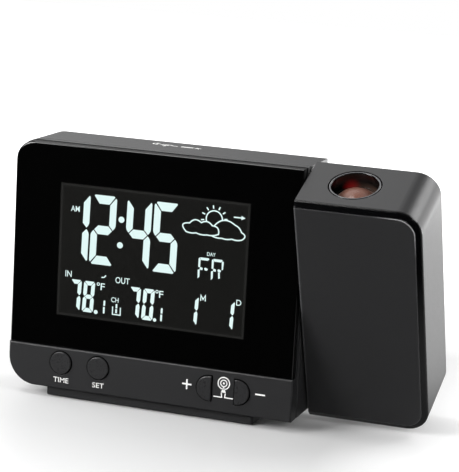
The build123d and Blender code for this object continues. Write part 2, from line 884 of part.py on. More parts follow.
foot_screw_set = build_screws(
    "foot_screws",
    foot_screw_places,
    level(foot_seat_height),
    case_bottom + foot_screw_grip - foot_seat_height - screw_clearance,
)

# ---------------------------------------------------------------- pivot
pivot_axis = Axis((0, pivot_y, pivot_height), (1, 0, 0))
pivot_section = Plane(origin=(0, pivot_y, pivot_height), x_dir=(1, 0, 0), z_dir=(0, -1, 0))

with BuildPart() as pivot_bush:
    bore_radius = shaft_radius + shaft_clearance
    flange_x = right_x + bush_flange_thickness
    with BuildSketch(pivot_section):
        draw_polygon(
            (bush_end_x, bore_radius),
            (flange_x, bore_radius),
            (flange_x, bush_flange_radius),
            (right_x, bush_flange_radius),
            (right_x, bush_radius),
            (bush_end_x, bush_radius),
        )
    revolve(axis=pivot_axis)
pivot_bush.part.label = "pivot_bush"

with BuildPart() as pivot_shaft:
    inner_wall_x = arm_left_x + wall
    groove_radius = shaft_radius - ring_groove_depth
    with BuildSketch(pivot_section):
        draw_polygon(
            (shaft_end_x, shaft_bore_radius),
            (inner_wall_x + shaft_flange_thickness, shaft_bore_radius),
            (inner_wall_x + shaft_flange_thickness, shaft_flange_radius),
            (inner_wall_x, shaft_flange_radius),
            (inner_wall_x, shaft_radius),
            (ring_end_x + ring_thickness + fit, shaft_radius),
            (ring_end_x + ring_thickness + fit, groove_radius),
            (ring_end_x, groove_radius),
            (ring_end_x, shaft_radius),
            (shaft_end_x, shaft_radius),
        )
    revolve(axis=pivot_axis)
pivot_shaft.part.label = "pivot_shaft"

with BuildPart() as friction_washer:
    washer_bore = shaft_radius + fit
    washer_face_x = bush_end_x - shaft_clearance
    with BuildSketch(pivot_section):
        draw_polygon(
            (washer_face_x - washer_rise - washer_thickness, washer_bore),
            (washer_face_x - washer_rise, washer_bore),
            (washer_face_x, bush_radius),
            (washer_face_x - washer_thickness, bush_radius),
        )
    revolve(axis=pivot_axis)
friction_washer.part.label = "friction_washer"

with BuildPart() as retaining_ring:
    ring_radius = shaft_radius + ring_rim
    with BuildSketch(sideways(ring_end_x + fit / 2)):
        with Locations(pivot_place):
            Circle(ring_radius)
            Circle(shaft_radius - ring_groove_depth + fit, mode=Mode.SUBTRACT)
            mouth = 2 * ring_radius * sin(radians(ring_mouth / 2))
            Rectangle(mouth, ring_radius, align=(Align.CENTER, Align.MAX), mode=Mode.SUBTRACT)
    extrude(amount=ring_thickness)
retaining_ring.part.label = "retaining_ring"

# ---------------------------------------------------------------- projector arm, upright
with BuildPart() as arm_shell:
    with BuildSketch(upright(cover_back_y)):
        draw_arm()
    extrude(amount=-(back_y - cover_back_y))
    fillet(arm_shell.faces().sort_by(Axis.Y)[-1].edges(), arm_back_radius)
    with BuildSketch(upright(cover_back_y)):
        draw_arm(wall)
    extrude(amount=-(inner_back_y - cover_back_y), mode=Mode.SUBTRACT)
    with BuildSketch(upright(arm_split_y)):
        with Locations(*arm_screws):
            Circle(arm_boss_radius)
    extrude(amount=-(inner_back_y - arm_split_y))
    with BuildSketch(upright(drive_board_back_y)):
        with Locations(*drive_posts):
            Circle(drive_post_radius)
    extrude(amount=-(inner_back_y - drive_board_back_y))
    # Holes for the bezel, the pivot shaft, the focus knob, the flip key and the screws
    with BuildSketch(level(arm_roof)):
        with Locations(lens_place):
            Circle(bezel_radius + bezel_seam)
    extrude(amount=wall, mode=Mode.SUBTRACT)
    with BuildSketch(sideways(arm_left_x)):
        with Locations(pivot_place):
            Circle(shaft_radius + fit)
    extrude(amount=wall, mode=Mode.SUBTRACT)
    with BuildSketch(upright(back_y)):
        with Locations(knob_place):
            Circle(knob_stem_radius + running_gap)
        with Locations(flip_place):
            Circle(flip_key_radius + key_gap)
    extrude(amount=wall, mode=Mode.SUBTRACT)
    with BuildSketch(upright(back_y)):
        with Locations(*arm_screws):
            Circle(screw_head_radius + screw_clearance)
    extrude(amount=screw_sink, mode=Mode.SUBTRACT)
    with BuildSketch(upright(back_y)):
        with Locations(*arm_screws):
            Circle(screw_radius + screw_clearance)
    extrude(amount=back_y - arm_split_y, mode=Mode.SUBTRACT)
arm_shell.part.label = "arm_shell"

with BuildPart() as arm_cover:
    with BuildSketch(upright(front_y)):
        draw_arm(cover_bevel, left_inset=0)
    with BuildSketch(upright(front_y + cover_bevel_depth)):
        draw_arm()
    loft()
    with BuildSketch(upright(front_y + cover_bevel_depth)):
        draw_arm()
    extrude(amount=-(cover_thickness - cover_bevel_depth))
    # Lip that enters the shell, and the columns for the screws
    with BuildSketch(upright(cover_back_y)):
        draw_arm(wall + fit)
    extrude(amount=-cover_lip_length)
    with BuildSketch(upright(cover_back_y)):
        draw_arm(wall + fit + cover_lip)
    extrude(amount=-cover_lip_length, mode=Mode.SUBTRACT)
    with BuildSketch(upright(cover_back_y)):
        with Locations(*arm_screws):
            Circle(arm_boss_radius)
    extrude(amount=-(arm_split_y - cover_back_y))
    with BuildSketch(upright(arm_split_y)):
        with Locations(*arm_screws):
            Circle(pilot_radius)
    extrude(amount=screw_grip, mode=Mode.SUBTRACT)
arm_cover.part.label = "arm_cover"

arm_screw_set = build_screws(
    "arm_screws",
    arm_screws,
    upright(screw_seat_y),
    screw_seat_y - arm_split_y + screw_grip - screw_clearance,
)

# ---------------------------------------------------------------- lens and optics
lens_axis = Axis((lens_x, lens_y, 0), (0, 0, 1))
lens_section = Plane(origin=(lens_x, lens_y, 0), x_dir=(1, 0, 0), z_dir=(0, -1, 0))

with BuildPart() as lens_bezel:
    with BuildSketch(lens_section):
        draw_polygon(
            (bezel_bore_radius, bezel_end),
            (bezel_radius, bezel_end),
            (bezel_radius, case_top),
            (bezel_bore_radius, case_top),
        )
    revolve(axis=lens_axis)
    fillet(lens_bezel.faces().sort_by(Axis.Z)[-1].edges(), bezel_edge_radius)
lens_bezel.part.label = "lens_bezel"

with BuildPart() as optics_housing:
    with BuildSketch(level(optics_foot)):
        with Locations(lens_place):
            Rectangle(optics_side, optics_side)
    extrude(amount=optics_shoulder - optics_foot)
    with BuildSketch(level(optics_shoulder)):
        with Locations(lens_place):
            Circle(tube_radius)
    extrude(amount=arm_roof - optics_shoulder)
    # Pocket for the light source, aperture, barrel guide and bezel seat, from below upwards
    with BuildSketch(level(optics_foot)):
        with Locations(lens_place):
            Rectangle(optics_pocket, optics_pocket)
    extrude(amount=slide_height - optics_foot, mode=Mode.SUBTRACT)
    with BuildSketch(level(slide_height)):
        with Locations(lens_place):
            Circle(aperture_radius)
    extrude(amount=optics_shoulder - slide_height, mode=Mode.SUBTRACT)
    with BuildSketch(level(optics_shoulder)):
        with Locations(lens_place):
            Circle(barrel_radius + running_gap)
    extrude(amount=arm_roof - optics_shoulder, mode=Mode.SUBTRACT)
    with BuildSketch(level(bezel_end)):
        with Locations(lens_place):
            Circle(bezel_radius + fit)
    extrude(amount=arm_roof - bezel_end, mode=Mode.SUBTRACT)
    # Window for the focus knob's crank pin
    with BuildSketch(upright(lens_y)):
        with Locations(knob_place):
            Rectangle(crank_window, crank_window)
    extrude(amount=-2 * tube_radius, mode=Mode.SUBTRACT)
    # Flat round the window, which keeps clear of the knob's flange
    with BuildSketch(upright(knob_flange_y - knob_flange_thickness - knob_relief)):
        with Locations(knob_place):
            Circle(knob_flange_radius + running_gap)
    extrude(amount=-tube_radius, mode=Mode.SUBTRACT)
optics_housing.part.label = "optics_housing"

with BuildPart() as lens_barrel:
    seat_radius = lens_radius + fit / 2
    with BuildSketch(lens_section):
        draw_polygon(
            (barrel_bore_radius, barrel_end),
            (barrel_radius, barrel_end),
            (barrel_radius, barrel_top),
            (seat_radius, barrel_top),
            (seat_radius, lens_edge - lens_rim),
            (barrel_bore_radius, lens_edge - lens_rim),
        )
    revolve(axis=lens_axis)
    # Groove that the crank pin lifts and lowers
    with BuildSketch(upright(groove_y)):
        with Locations(knob_place):
            Rectangle(
                2 * (crank_offset + crank_pin_radius + crank_groove_slack),
                2 * (crank_pin_radius + crank_groove_slack),
            )
    extrude(amount=-crank_groove_depth, mode=Mode.SUBTRACT)
lens_barrel.part.label = "lens_barrel"

with BuildPart() as projection_lens:
    with BuildSketch(lens_section):
        with BuildLine():
            Line((0, lens_edge - lens_rim), (lens_radius, lens_edge - lens_rim))
            Line((lens_radius, lens_edge - lens_rim), (lens_radius, lens_edge))
            CenterArc(
                (0, lens_crown - lens_curve_radius),
                lens_curve_radius,
                90 - lens_half_angle,
                lens_half_angle,
            )
            Line((0, lens_crown), (0, lens_edge - lens_rim))
        make_face()
    revolve(axis=lens_axis)
projection_lens.part.label = "projection_lens"

with BuildPart() as projection_slide:
    with BuildSketch(level(slide_height)):
        with Locations(lens_place):
            Rectangle(slide_size, slide_size)
    extrude(amount=-slide_thickness)
projection_slide.part.label = "projection_slide"

with BuildPart() as condenser_lens:
    plate_top = slide_height - slide_thickness
    with BuildSketch(level(plate_top)):
        with Locations(lens_place):
            Rectangle(slide_size, slide_size)
    extrude(amount=-condenser_plate)
    plate_foot = plate_top - condenser_plate
    with BuildSketch(lens_section):
        with BuildLine():
            Line((0, plate_foot), (condenser_radius, plate_foot))
            condenser_bow = (condenser_radius**2 + condenser_rise**2) / (2 * condenser_rise)
            RadiusArc((condenser_radius, plate_foot), (0, condenser_foot), condenser_bow)
            Line((0, condenser_foot), (0, plate_foot))
        make_face()
    revolve(axis=lens_axis)
condenser_lens.part.label = "condenser_lens"

with BuildPart() as led_module:
    with BuildSketch(level(optics_foot)):
        with Locations(lens_place):
            Rectangle(optics_side, optics_side)
    extrude(amount=-led_board_thickness)
    with BuildSketch(level(optics_foot)):
        with Locations(lens_place):
            RectangleRounded(led_size, led_size, edge_break)
    extrude(amount=led_height)
    with BuildSketch(lens_section):
        with BuildLine():
            Line((0, dome_foot), (led_dome_radius, dome_foot))
            CenterArc((0, dome_foot), led_dome_radius, 0, 90)
            Line((0, dome_foot + led_dome_radius), (0, dome_foot))
        make_face()
    revolve(axis=lens_axis)
led_module.part.label = "led_module"

with BuildPart() as heat_sink:
    sink_top = optics_foot - led_board_thickness
    with BuildSketch(level(sink_top)):
        with Locations(lens_place):
            Rectangle(optics_side, optics_side)
    extrude(amount=-sink_base)
    fin_pitch = (optics_side - sink_fin_thickness) / (sink_fin_count - 1)
    with BuildSketch(level(sink_top - sink_base)):
        with Locations(lens_place):
            with GridLocations(fin_pitch, 0, sink_fin_count, 1):
                Rectangle(sink_fin_thickness, optics_side)
    extrude(amount=-(sink_height - sink_base))
heat_sink.part.label = "heat_sink"

# ---------------------------------------------------------------- controls on the arm's back
with BuildPart() as focus_knob:
    with BuildSketch(upright(back_y + knob_standoff)):
        with Locations(knob_place):
            Circle(knob_radius)
            with PolarLocations(knob_radius, knob_rib_count):
                Circle(knob_rib_radius, mode=Mode.SUBTRACT)
    extrude(amount=-knob_proud)
    # Coin slot across the face
    with BuildSketch(upright(back_y + knob_standoff + knob_proud)):
        with Locations(knob_place):
            SlotOverall(2 * knob_stem_radius + knob_radius / 2, 2 * cross_slot_width)
    extrude(amount=cross_slot_depth, mode=Mode.SUBTRACT)
    with BuildSketch(upright(back_y + knob_standoff)):
        with Locations(knob_place):
            Circle(knob_stem_radius)
    extrude(amount=knob_standoff + back_y - knob_flange_y)
    with BuildSketch(upright(knob_flange_y)):
        with Locations(knob_place):
            Circle(knob_flange_radius)
    extrude(amount=knob_flange_thickness)
    # Crank pin, off the knob's axis, into the barrel's groove
    with BuildSketch(upright(knob_flange_y - knob_flange_thickness)):
        with Locations((lens_x + crank_offset, knob_place[1])):
            Circle(crank_pin_radius)
    extrude(amount=knob_flange_y - knob_flange_thickness - groove_y - running_gap)
focus_knob.part.label = "focus_knob"

with BuildPart() as flip_key:
    with BuildSketch(upright(back_y + key_proud)):
        with Locations(flip_place):
            Circle(flip_key_radius)
    extrude(amount=back_y + key_proud - flip_flange_y)
    fillet(flip_key.faces().sort_by(Axis.Y)[-1].edges(), key_edge_radius)
    with BuildSketch(upright(flip_flange_y)):
        with Locations(flip_place):
            Circle(flip_key_radius + key_flange_reach)
    extrude(amount=key_flange_thickness)
    with BuildSketch(upright(flip_flange_y - key_flange_thickness)):
        with Locations(flip_place):
            Circle(plunger_radius)
    extrude(amount=flip_stem_length)
flip_key.part.label = "flip_button"

with BuildPart() as drive_board:
    with BuildSketch(upright(drive_board_back_y)):
        with Locations(flip_place):
            Rectangle(drive_board_width, drive_board_height)
    extrude(amount=drive_board_thickness)
    # Switch under the flip key
    with BuildSketch(upright(drive_board_back_y)):
        with Locations(flip_place):
            RectangleRounded(switch_size, switch_size, edge_break)
    extrude(amount=-switch_height)
    with BuildSketch(upright(drive_board_back_y + switch_height)):
        with Locations(flip_place):
            Circle(plunger_radius)
    extrude(amount=-plunger_height)
drive_board.part.label = "drive_board"

# ---------------------------------------------------------------- export
case_pieces = [
    front_frame,
    display_panel,
    lcd_module,
    backlight,
    *keys,
    main_board,
    key_switches,
    control_chip,
    radio_receiver,
    time_antenna,
    antenna_clips,
    rear_housing,
    case_screw_set,
    battery_lid,
    battery_cells,
    battery_contacts,
    sounder,
    supply_socket,
    touch_pad,
    foot,
    foot_pad,
    foot_screw_set,
    pivot_bush,
]
arm_pieces = [
    pivot_shaft,
    friction_washer,
    retaining_ring,
    arm_shell,
    arm_cover,
    arm_screw_set,
    lens_bezel,
    optics_housing,
    lens_barrel,
    projection_lens,
    projection_slide,
    condenser_lens,
    led_module,
    heat_sink,
    focus_knob,
    flip_key,
    drive_board,
]

os.makedirs("parts", exist_ok=True)
for piece in case_pieces:
    export_step(piece.part, f"parts/{piece.part.label}.step")
# The arm stands tilted about the pivot
for piece in arm_pieces:
    tilted = piece.part.rotate(pivot_axis, projector_tilt)
    tilted.label = piece.part.label
    export_step(tilted, f"parts/{tilted.label}.step")
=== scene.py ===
"""Projection alarm clock: finishes, printing, display light and studio round the CAD model."""

import json
import logging
from abc import ABC, abstractmethod
from collections.abc import Iterable, Mapping, Sequence
from dataclasses import dataclass, field
from enum import Enum
from math import atan2, cos, pi, radians, sin
from typing import ClassVar

import bmesh
import bpy
from mathutils import Matrix, Vector


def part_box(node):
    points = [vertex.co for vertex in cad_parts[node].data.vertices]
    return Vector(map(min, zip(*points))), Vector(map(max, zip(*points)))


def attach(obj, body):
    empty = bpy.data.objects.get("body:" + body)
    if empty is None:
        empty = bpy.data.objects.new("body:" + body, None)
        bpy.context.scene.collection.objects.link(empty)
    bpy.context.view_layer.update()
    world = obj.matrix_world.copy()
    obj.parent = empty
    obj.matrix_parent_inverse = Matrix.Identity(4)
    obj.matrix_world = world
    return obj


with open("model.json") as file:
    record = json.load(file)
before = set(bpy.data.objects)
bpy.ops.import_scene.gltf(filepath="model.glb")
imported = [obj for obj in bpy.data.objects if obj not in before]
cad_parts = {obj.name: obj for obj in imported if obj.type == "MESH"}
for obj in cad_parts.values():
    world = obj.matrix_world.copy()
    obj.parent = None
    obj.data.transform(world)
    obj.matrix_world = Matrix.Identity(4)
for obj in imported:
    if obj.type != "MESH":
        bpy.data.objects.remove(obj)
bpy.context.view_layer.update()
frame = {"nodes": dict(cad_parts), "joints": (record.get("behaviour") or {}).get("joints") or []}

MM = 0.001

JOINTS = {joint["name"]: joint for joint in frame["joints"]}
ARM_UP = Vector(JOINTS["lens_focus"]["axis"])
ARM_PIVOT = Vector(JOINTS["projector_tilt"]["pos_m"]) / MM
ARM_LEAN = atan2(-ARM_UP.y, ARM_UP.z)  # how far the arm leans forward where it stands

Point = tuple[float, float]
Line = tuple[Point, ...]
Place = tuple[float, float, float]
Socket = bpy.types.NodeSocket
Input = Socket | float | str | Sequence[float]  # a source, a number, a "#rrggbb" colour, a vector
log = logging.getLogger("projection_clock")


class Body(Enum):
    """The bodies of the clock that carry printing or light."""

    CASE = "case"
    PROJECTOR = "projector"


# ---------------------------------------------------------------- shared helpers
def to_linear(code: str) -> tuple[float, float, float, float]:
    """Turn an sRGB hex colour into the linear colour that shaders take.

    Args:
        code: the colour as "#rrggbb".

    Returns:
        Linear red, green and blue, with full alpha.
    """
    channels = (int(code[i : i + 2], 16) / 255 for i in (1, 3, 5))
    red, green, blue = (
        c / 12.92 if c <= 0.04045 else ((c + 0.055) / 1.055) ** 2.4 for c in channels
    )
    return red, green, blue, 1.0


def stood_upright(point: Vector) -> Vector:
    """Return a place in millimetres with the arm's lean taken out."""
    return Matrix.Rotation(-ARM_LEAN, 3, "X") @ (point - ARM_PIVOT) + ARM_PIVOT


def crown_of(node: str) -> Vector:
    """Return the highest point of one of the arm's nodes in millimetres, its lean taken out."""
    vertices = frame["nodes"][node].data.vertices
    return max((stood_upright(vert.co / MM) for vert in vertices), key=lambda point: point.z)


class Wiring:
    """A node tree in the making. Its helpers add nodes and return the output that matters."""

    def __init__(self, tree: bpy.types.NodeTree) -> None:
        """Work on tree."""
        self.tree = tree

    def find(self, kind: str) -> bpy.types.Node:
        """Return the tree's node of one type."""
        return next(node for node in self.tree.nodes if node.type == kind)

    def give(self, socket: Socket, value: Input) -> None:
        """Feed a socket from an output, or set it to a plain value.

        Args:
            socket: the socket.
            value: what it gets.
        """
        if isinstance(value, Socket):
            self.tree.links.new(value, socket)
        else:
            socket.default_value = to_linear(value) if isinstance(value, str) else value

    def add(
        self, kind: str, inputs: Mapping[str | int, Input] | None = None, **settings: object
    ) -> bpy.types.Node:
        """Add one node.

        Args:
            kind: the node's type, without the "ShaderNode" that they all begin with.
            inputs: what its sockets get, by name or number.
            settings: its attributes.

        Returns:
            The new node.
        """
        node = self.tree.nodes.new(f"ShaderNode{kind}")
        for name, value in settings.items():
            setattr(node, name, value)
        for key, value in (inputs or {}).items():
            self.give(node.inputs[key], value)
        return node

    def ramp(
        self,
        value: Socket,
        low: float,
        high: float,
        start: float = 0.0,
        end: float = 1.0,
        curve: str = "LINEAR",
    ) -> Socket:
        """Take a value from one span to another, and hold it beyond the span's ends.

        Args:
            value: the value.
            low: where it gives start.
            high: where it gives end; it may be below low.
            start: the result at low.
            end: the result at high.
            curve: how it runs between them.

        Returns:
            The result.
        """
        span = {"From Min": low, "From Max": high, "To Min": start, "To Max": end}
        return self.add("MapRange", {"Value": value, **span}, interpolation_type=curve).outputs[0]

    def math(self, operation: str, first: Input, second: Input = 0.0) -> Socket:
        """Return two numbers put together."""
        return self.add("Math", {0: first, 1: second}, operation=operation).outputs[0]

    def product(self, first: Input, second: Input) -> Socket:
        """Return one number times the other."""
        return self.math("MULTIPLY", first, second)

    def largest(self, first: Input, second: Input) -> Socket:
        """Return the larger number."""
        return self.math("MAXIMUM", first, second)

    def vector(self, operation: str, first: Input, second: Input = (0, 0, 0)) -> Socket:
        """Return two vectors put together as a vector."""
        return self.add("VectorMath", {0: first, 1: second}, operation=operation).outputs["Vector"]

    def measure(self, operation: str, first: Input, second: Input = (0, 0, 0)) -> Socket:
        """Return the number that two vectors give, such as their distance."""
        return self.add("VectorMath", {0: first, 1: second}, operation=operation).outputs["Value"]

    def axes(self, place: Socket) -> tuple[Socket, Socket, Socket]:
        """Return a vector's x, y and z."""
        return tuple(self.add("SeparateXYZ", {0: place}).outputs)

    def number(self, mask: Socket, first: Input, second: Input) -> Socket:
        """Return the first number where mask is 0 and the second where it is 1."""
        return self.add("Mix", {0: mask, 2: first, 3: second}, data_type="FLOAT").outputs[0]

    def tone(self, mask: Socket, first: Input, second: Input) -> Socket:
        """Return the first colour where mask is 0 and the second where it is 1."""
        return self.add("Mix", {0: mask, 6: first, 7: second}, data_type="RGBA").outputs[2]


# ---------------------------------------------------------------- finishes
class Bench(Wiring):
    """One material in the making: its shader, and the part's own space in metres and in mm."""

    def __init__(self, label: str) -> None:
        """Start a material.

        Args:
            label: its name.
        """
        self.material = bpy.data.materials.new(label)
        self.material.use_nodes = True
        super().__init__(self.material.node_tree)
        self.shader = self.find("BSDF_PRINCIPLED")
        self.place = self.add("TexCoord").outputs["Object"]
        scale = (1 / MM, 1 / MM, 1 / MM)
        self.mm = self.add("Mapping", {"Vector": self.place, "Scale": scale}).outputs[0]

    def set(self, **values: Input) -> None:
        """Feed or set the shader's sockets, written with underscores for spaces."""
        for name, value in values.items():
            self.give(self.shader.inputs[name.replace("_", " ")], value)

    def noise(
        self, size_mm: float, detail: float, roughness: float = 0.5, distortion: float = 0.0
    ) -> Socket:
        """Return noise with features of one size, in the part's own space."""
        look = {"Detail": detail, "Roughness": roughness, "Distortion": distortion}
        return self.add("TexNoise", {"Vector": self.mm, "Scale": 1 / size_mm, **look}).outputs[0]

    def wave(
        self, place: Socket, direction: str, scale: float, distortion: float = 0.0
    ) -> Socket:
        """Return even bands across one direction."""
        look = {"Vector": place, "Scale": scale, "Distortion": distortion}
        return self.add("TexWave", look, bands_direction=direction).outputs["Fac"]

    def bump(
        self, height: Socket, depth_mm: float, strength: float, normal: Socket | None = None
    ) -> Socket:
        """Return the normal of a relief, laid over another normal if one is given."""
        look = {"Height": height, "Distance": depth_mm * MM, "Strength": strength}
        return self.add("Bump", look if normal is None else {**look, "Normal": normal}).outputs[0]

    def overlay(self, mask: Socket, colour: str, roughness: float) -> None:
        """Lay a second colour and roughness over what the shader has, where mask is 1.

        Args:
            mask: where the second finish lies.
            colour: its colour as "#rrggbb".
            roughness: its roughness.
        """
        inputs = self.shader.inputs
        tone, rough = (inputs[name].links[0].from_socket for name in ("Base Color", "Roughness"))
        self.set(
            Base_Color=self.tone(mask, tone, colour),
            Roughness=self.number(mask, rough, roughness),
        )

    def in_arm(self) -> Socket:
        """Return the place in millimetres with the arm's lean taken out, so its top is level."""
        turn = {"Vector": self.mm, "Center": ARM_PIVOT, "Angle": -ARM_LEAN}
        return self.add("VectorRotate", turn, rotation_type="X_AXIS").outputs[0]

    def from_middle(self, middle_x: float) -> Socket:
        """Return how far in millimetres a point is from middle_x to either side."""
        return self.math("ABSOLUTE", self.math("SUBTRACT", self.axes(self.mm)[0], middle_x))

    def round_edges(self, radius_mm: float, samples: int = 4) -> tuple[Socket, Socket]:
        """Round the edges for the light.

        Args:
            radius_mm: how far the rounding reaches from an edge.
            samples: how finely it is worked out.

        Returns:
            The rounded normal, and the cosine of its turn from the face's own.
        """
        rounded = self.add("Bevel", {"Radius": radius_mm * MM}, samples=samples).outputs[0]
        face = self.add("NewGeometry").outputs["Normal"]
        return rounded, self.measure("DOT_PRODUCT", rounded, face)


@dataclass(frozen=True)
class Finish(ABC):
    """How one kind of surface looks. Pieces with the same finish share its material."""

    label: str

    def material(self) -> bpy.types.Material:
        """Make the finish's material the first time, and find it again after that.

        Returns:
            The material.
        """
        made = bpy.data.materials.get(self.label)
        if made is None:
            bench = Bench(self.label)
            self.paint(bench)
            made = bench.material
        return made

    @abstractmethod
    def paint(self, bench: Bench) -> None:
        """Build the finish's nodes.

        Args:
            bench: the material in the making that takes them.
        """


@dataclass(frozen=True)
class MouldedPlastic(Finish):
    """Injection-moulded plastic: a skin of some grain, with faint flow clouds, worn edges and
    painted shade in its gaps.
    """

    colour: str
    cloud: str
    worn: str
    roughness: float
    roughness_spread: float = 0.07
    grain_mm: float = 0.3
    grain_depth_mm: float = 0.004
    grain_band: Point = (0.3, 0.7)  # of the grain's noise, smoothest to roughest
    cloud_mm: float = 24.0
    edge_mm: float = 0.35
    edge_turn: Point = (0.97, 0.72)  # cosines of the turn where an edge is fresh and worn
    worn_patch_mm: float = 6.0
    worn_band: Point = (0.42, 0.68)  # of the patches' noise
    worn_roughness: float = 0.16
    shade_reach_mm: float = 1.2  # how wide a gap still gets painted shade on its walls
    shade_sky: Point = (0.25, 0.8)  # shares of open sky where the painted shade is full and gone
    # the colour of the painted shade in gaps and creases
    painted_shade: str = "#030303"
    mirror_level: float = 0.5  # in the open
    ior: float = 1.53

    def paint(self, bench: Bench) -> None:
        """Build the skin's grain, its clouds, its worn edges and the painted shade of its gaps.

        Args:
            bench: the material in the making.
        """
        grain = bench.noise(self.grain_mm, detail=4.0, roughness=0.6)
        clouds = bench.noise(self.cloud_mm, detail=2.0, distortion=0.8)
        patches = bench.noise(self.worn_patch_mm, detail=3.0)
        rounded, turn = bench.round_edges(self.edge_mm)
        edge = bench.ramp(turn, *self.edge_turn)
        wear_and_highlight = bench.product(edge, bench.ramp(patches, *self.worn_band))
        body = bench.tone(wear_and_highlight, bench.tone(clouds, self.colour, self.cloud), self.worn)
        rough = [self.roughness + side * self.roughness_spread for side in (-1, 1)]
        matt = bench.ramp(grain, *self.grain_band, *rough)
        # Painted shade: occlusion darkens the colour and the reflection in gaps, creases and
        # recesses
        sky = bench.add("AmbientOcclusion", {"Distance": self.shade_reach_mm * MM}, samples=4)
        shade = bench.ramp(sky.outputs["AO"], *self.shade_sky)
        bench.set(
            IOR=self.ior,
            Base_Color=bench.tone(shade, self.painted_shade, body),
            Specular_IOR_Level=bench.product(shade, self.mirror_level),
            Roughness=bench.number(wear_and_highlight, matt, self.worn_roughness),
            Normal=bench.bump(grain, self.grain_depth_mm, 1.0, rounded),
        )


@dataclass(frozen=True)
class PolishedBevel(MouldedPlastic):
    """The same skin, its bevel polished and painted near black as shade, and a highlight painted
    pale on its arris near the upper right corner.
    """

    lip_turn: Point = (0.998, 0.985)  # cosines of the turn at the start of the lip and on it
    # painted shade: the bevel's colour near black
    bevel: str = "#060607"
    bevel_roughness: float = 0.12
    bevel_start_mm: float = 0.05  # behind the front face
    # painted highlight: the pale colour on the arris near the upper right corner
    wear_and_highlight: str = "#e6e6e8"
    highlight_turn: Point = (0.984, 0.97)
    highlight_inset_mm: float = 4.0  # from the upper right corner to the middle of the painted highlight on the arris
    highlight_reach_mm: Point = (14.0, 4.0)  # from there, where it is least and most
    highlight_least: float = 0.1
    highlight_deep_mm: float = 0.5  # behind the front face, so that the bevel's outer edge keeps its painted near black

    def paint(self, bench: Bench) -> None:
        """Build the skin, then the polish and painted shade behind the front face, and the painted
        highlight on the arris.

        Args:
            bench: the material in the making.
        """
        super().paint(bench)
        _, turn = bench.round_edges(self.edge_mm, samples=6)
        bench.overlay(bench.ramp(turn, *self.lip_turn), self.colour, self.bevel_roughness)
        place = bench.in_arm()
        depth = bench.axes(place)[1]
        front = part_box("front_frame")[0].y / MM
        start, deep = self.bevel_start_mm, self.highlight_deep_mm
        # Painted shade: behind the front face the colour turns near black, beside the polish's low
        # roughness
        polished = bench.ramp(depth, front + start / 2, front + start)
        bench.overlay(polished, self.bevel, self.bevel_roughness)
        # Painted highlight: the arris turns pale near the upper right corner and fades away from it
        right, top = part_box("arm_cover")[1].x / MM, crown_of("arm_cover").z
        corner = (right - self.highlight_inset_mm, 0, top - self.highlight_inset_mm)
        away = bench.measure("DISTANCE", bench.vector("MULTIPLY", place, (1, 0, 1)), corner)
        near_highlight = bench.ramp(away, *self.highlight_reach_mm, self.highlight_least)
        arris = bench.product(near_highlight, bench.ramp(turn, *self.highlight_turn))
        painted_highlight = bench.product(arris, bench.ramp(depth, front + deep, front + deep / 2))
        bench.overlay(painted_highlight, self.wear_and_highlight, self.roughness)


@dataclass(frozen=True)
class LitBore(MouldedPlastic):
    """Moulded plastic round the lens, with a red glow for the lamp below and a warm stray light,
    both painted on.
    """

    glow: str = "#ff1420"
    glow_place: Place = (-3.8, 7.6, -3.4)  # from the lens's crown
    glow_reach: float = 4.2
    glow_strength: float = 0.1
    stray: str = "#ffcdb5"
    stray_fall: Point = (-1.0, -3.6)  # heights from the lens's crown where it starts and is full
    stray_side: float = 6.0
    stray_strength: float = 0.06
    # the painted shade reaches deep into the bore
    shade_reach_mm: float = 8.0

    def paint(self, bench: Bench) -> None:
        """Build the skin, then the two painted lights on it.

        Args:
            bench: the material in the making.
        """
        super().paint(bench)
        # Painted light: emission placed by distance from the lens's crown
        place = bench.vector("SUBTRACT", bench.in_arm(), crown_of("projection_lens"))
        reach = bench.measure("DISTANCE", place, self.glow_place)
        red = bench.ramp(reach, self.glow_reach, 0.0, 0.0, self.glow_strength, "SMOOTHSTEP")
        across, _, height = bench.axes(place)
        low = bench.ramp(height, *self.stray_fall, 0.0, self.stray_strength)
        stray = bench.product(low, bench.ramp(across, -self.stray_side, self.stray_side))
        light = bench.math("ADD", red, stray)
        warm = bench.math("DIVIDE", stray, light)
        bench.set(Emission_Color=bench.tone(warm, self.glow, self.stray), Emission_Strength=light)


@dataclass(frozen=True)
class PolishedRim(LitBore):
    """The same lit bore, with a paler crest painted on its rim as a highlight where it stands in
    the arm's top.
    """

    # painted highlight: the colour of the rim's crest
    rim: str = "#5a5a5c"
    rim_roughness: float = 0.3
    rim_mm: float = 0.08

    def paint(self, bench: Bench) -> None:
        """Build the bore, then the painted highlight on its rim.

        Args:
            bench: the material in the making.
        """
        super().paint(bench)
        # Painted highlight: a paler band at the top of the rim
        height, top = bench.axes(bench.in_arm())[2], crown_of("lens_bezel").z
        rim = bench.ramp(height, top - self.rim_mm, top - self.rim_mm / 2)
        bench.overlay(rim, self.rim, self.rim_roughness)


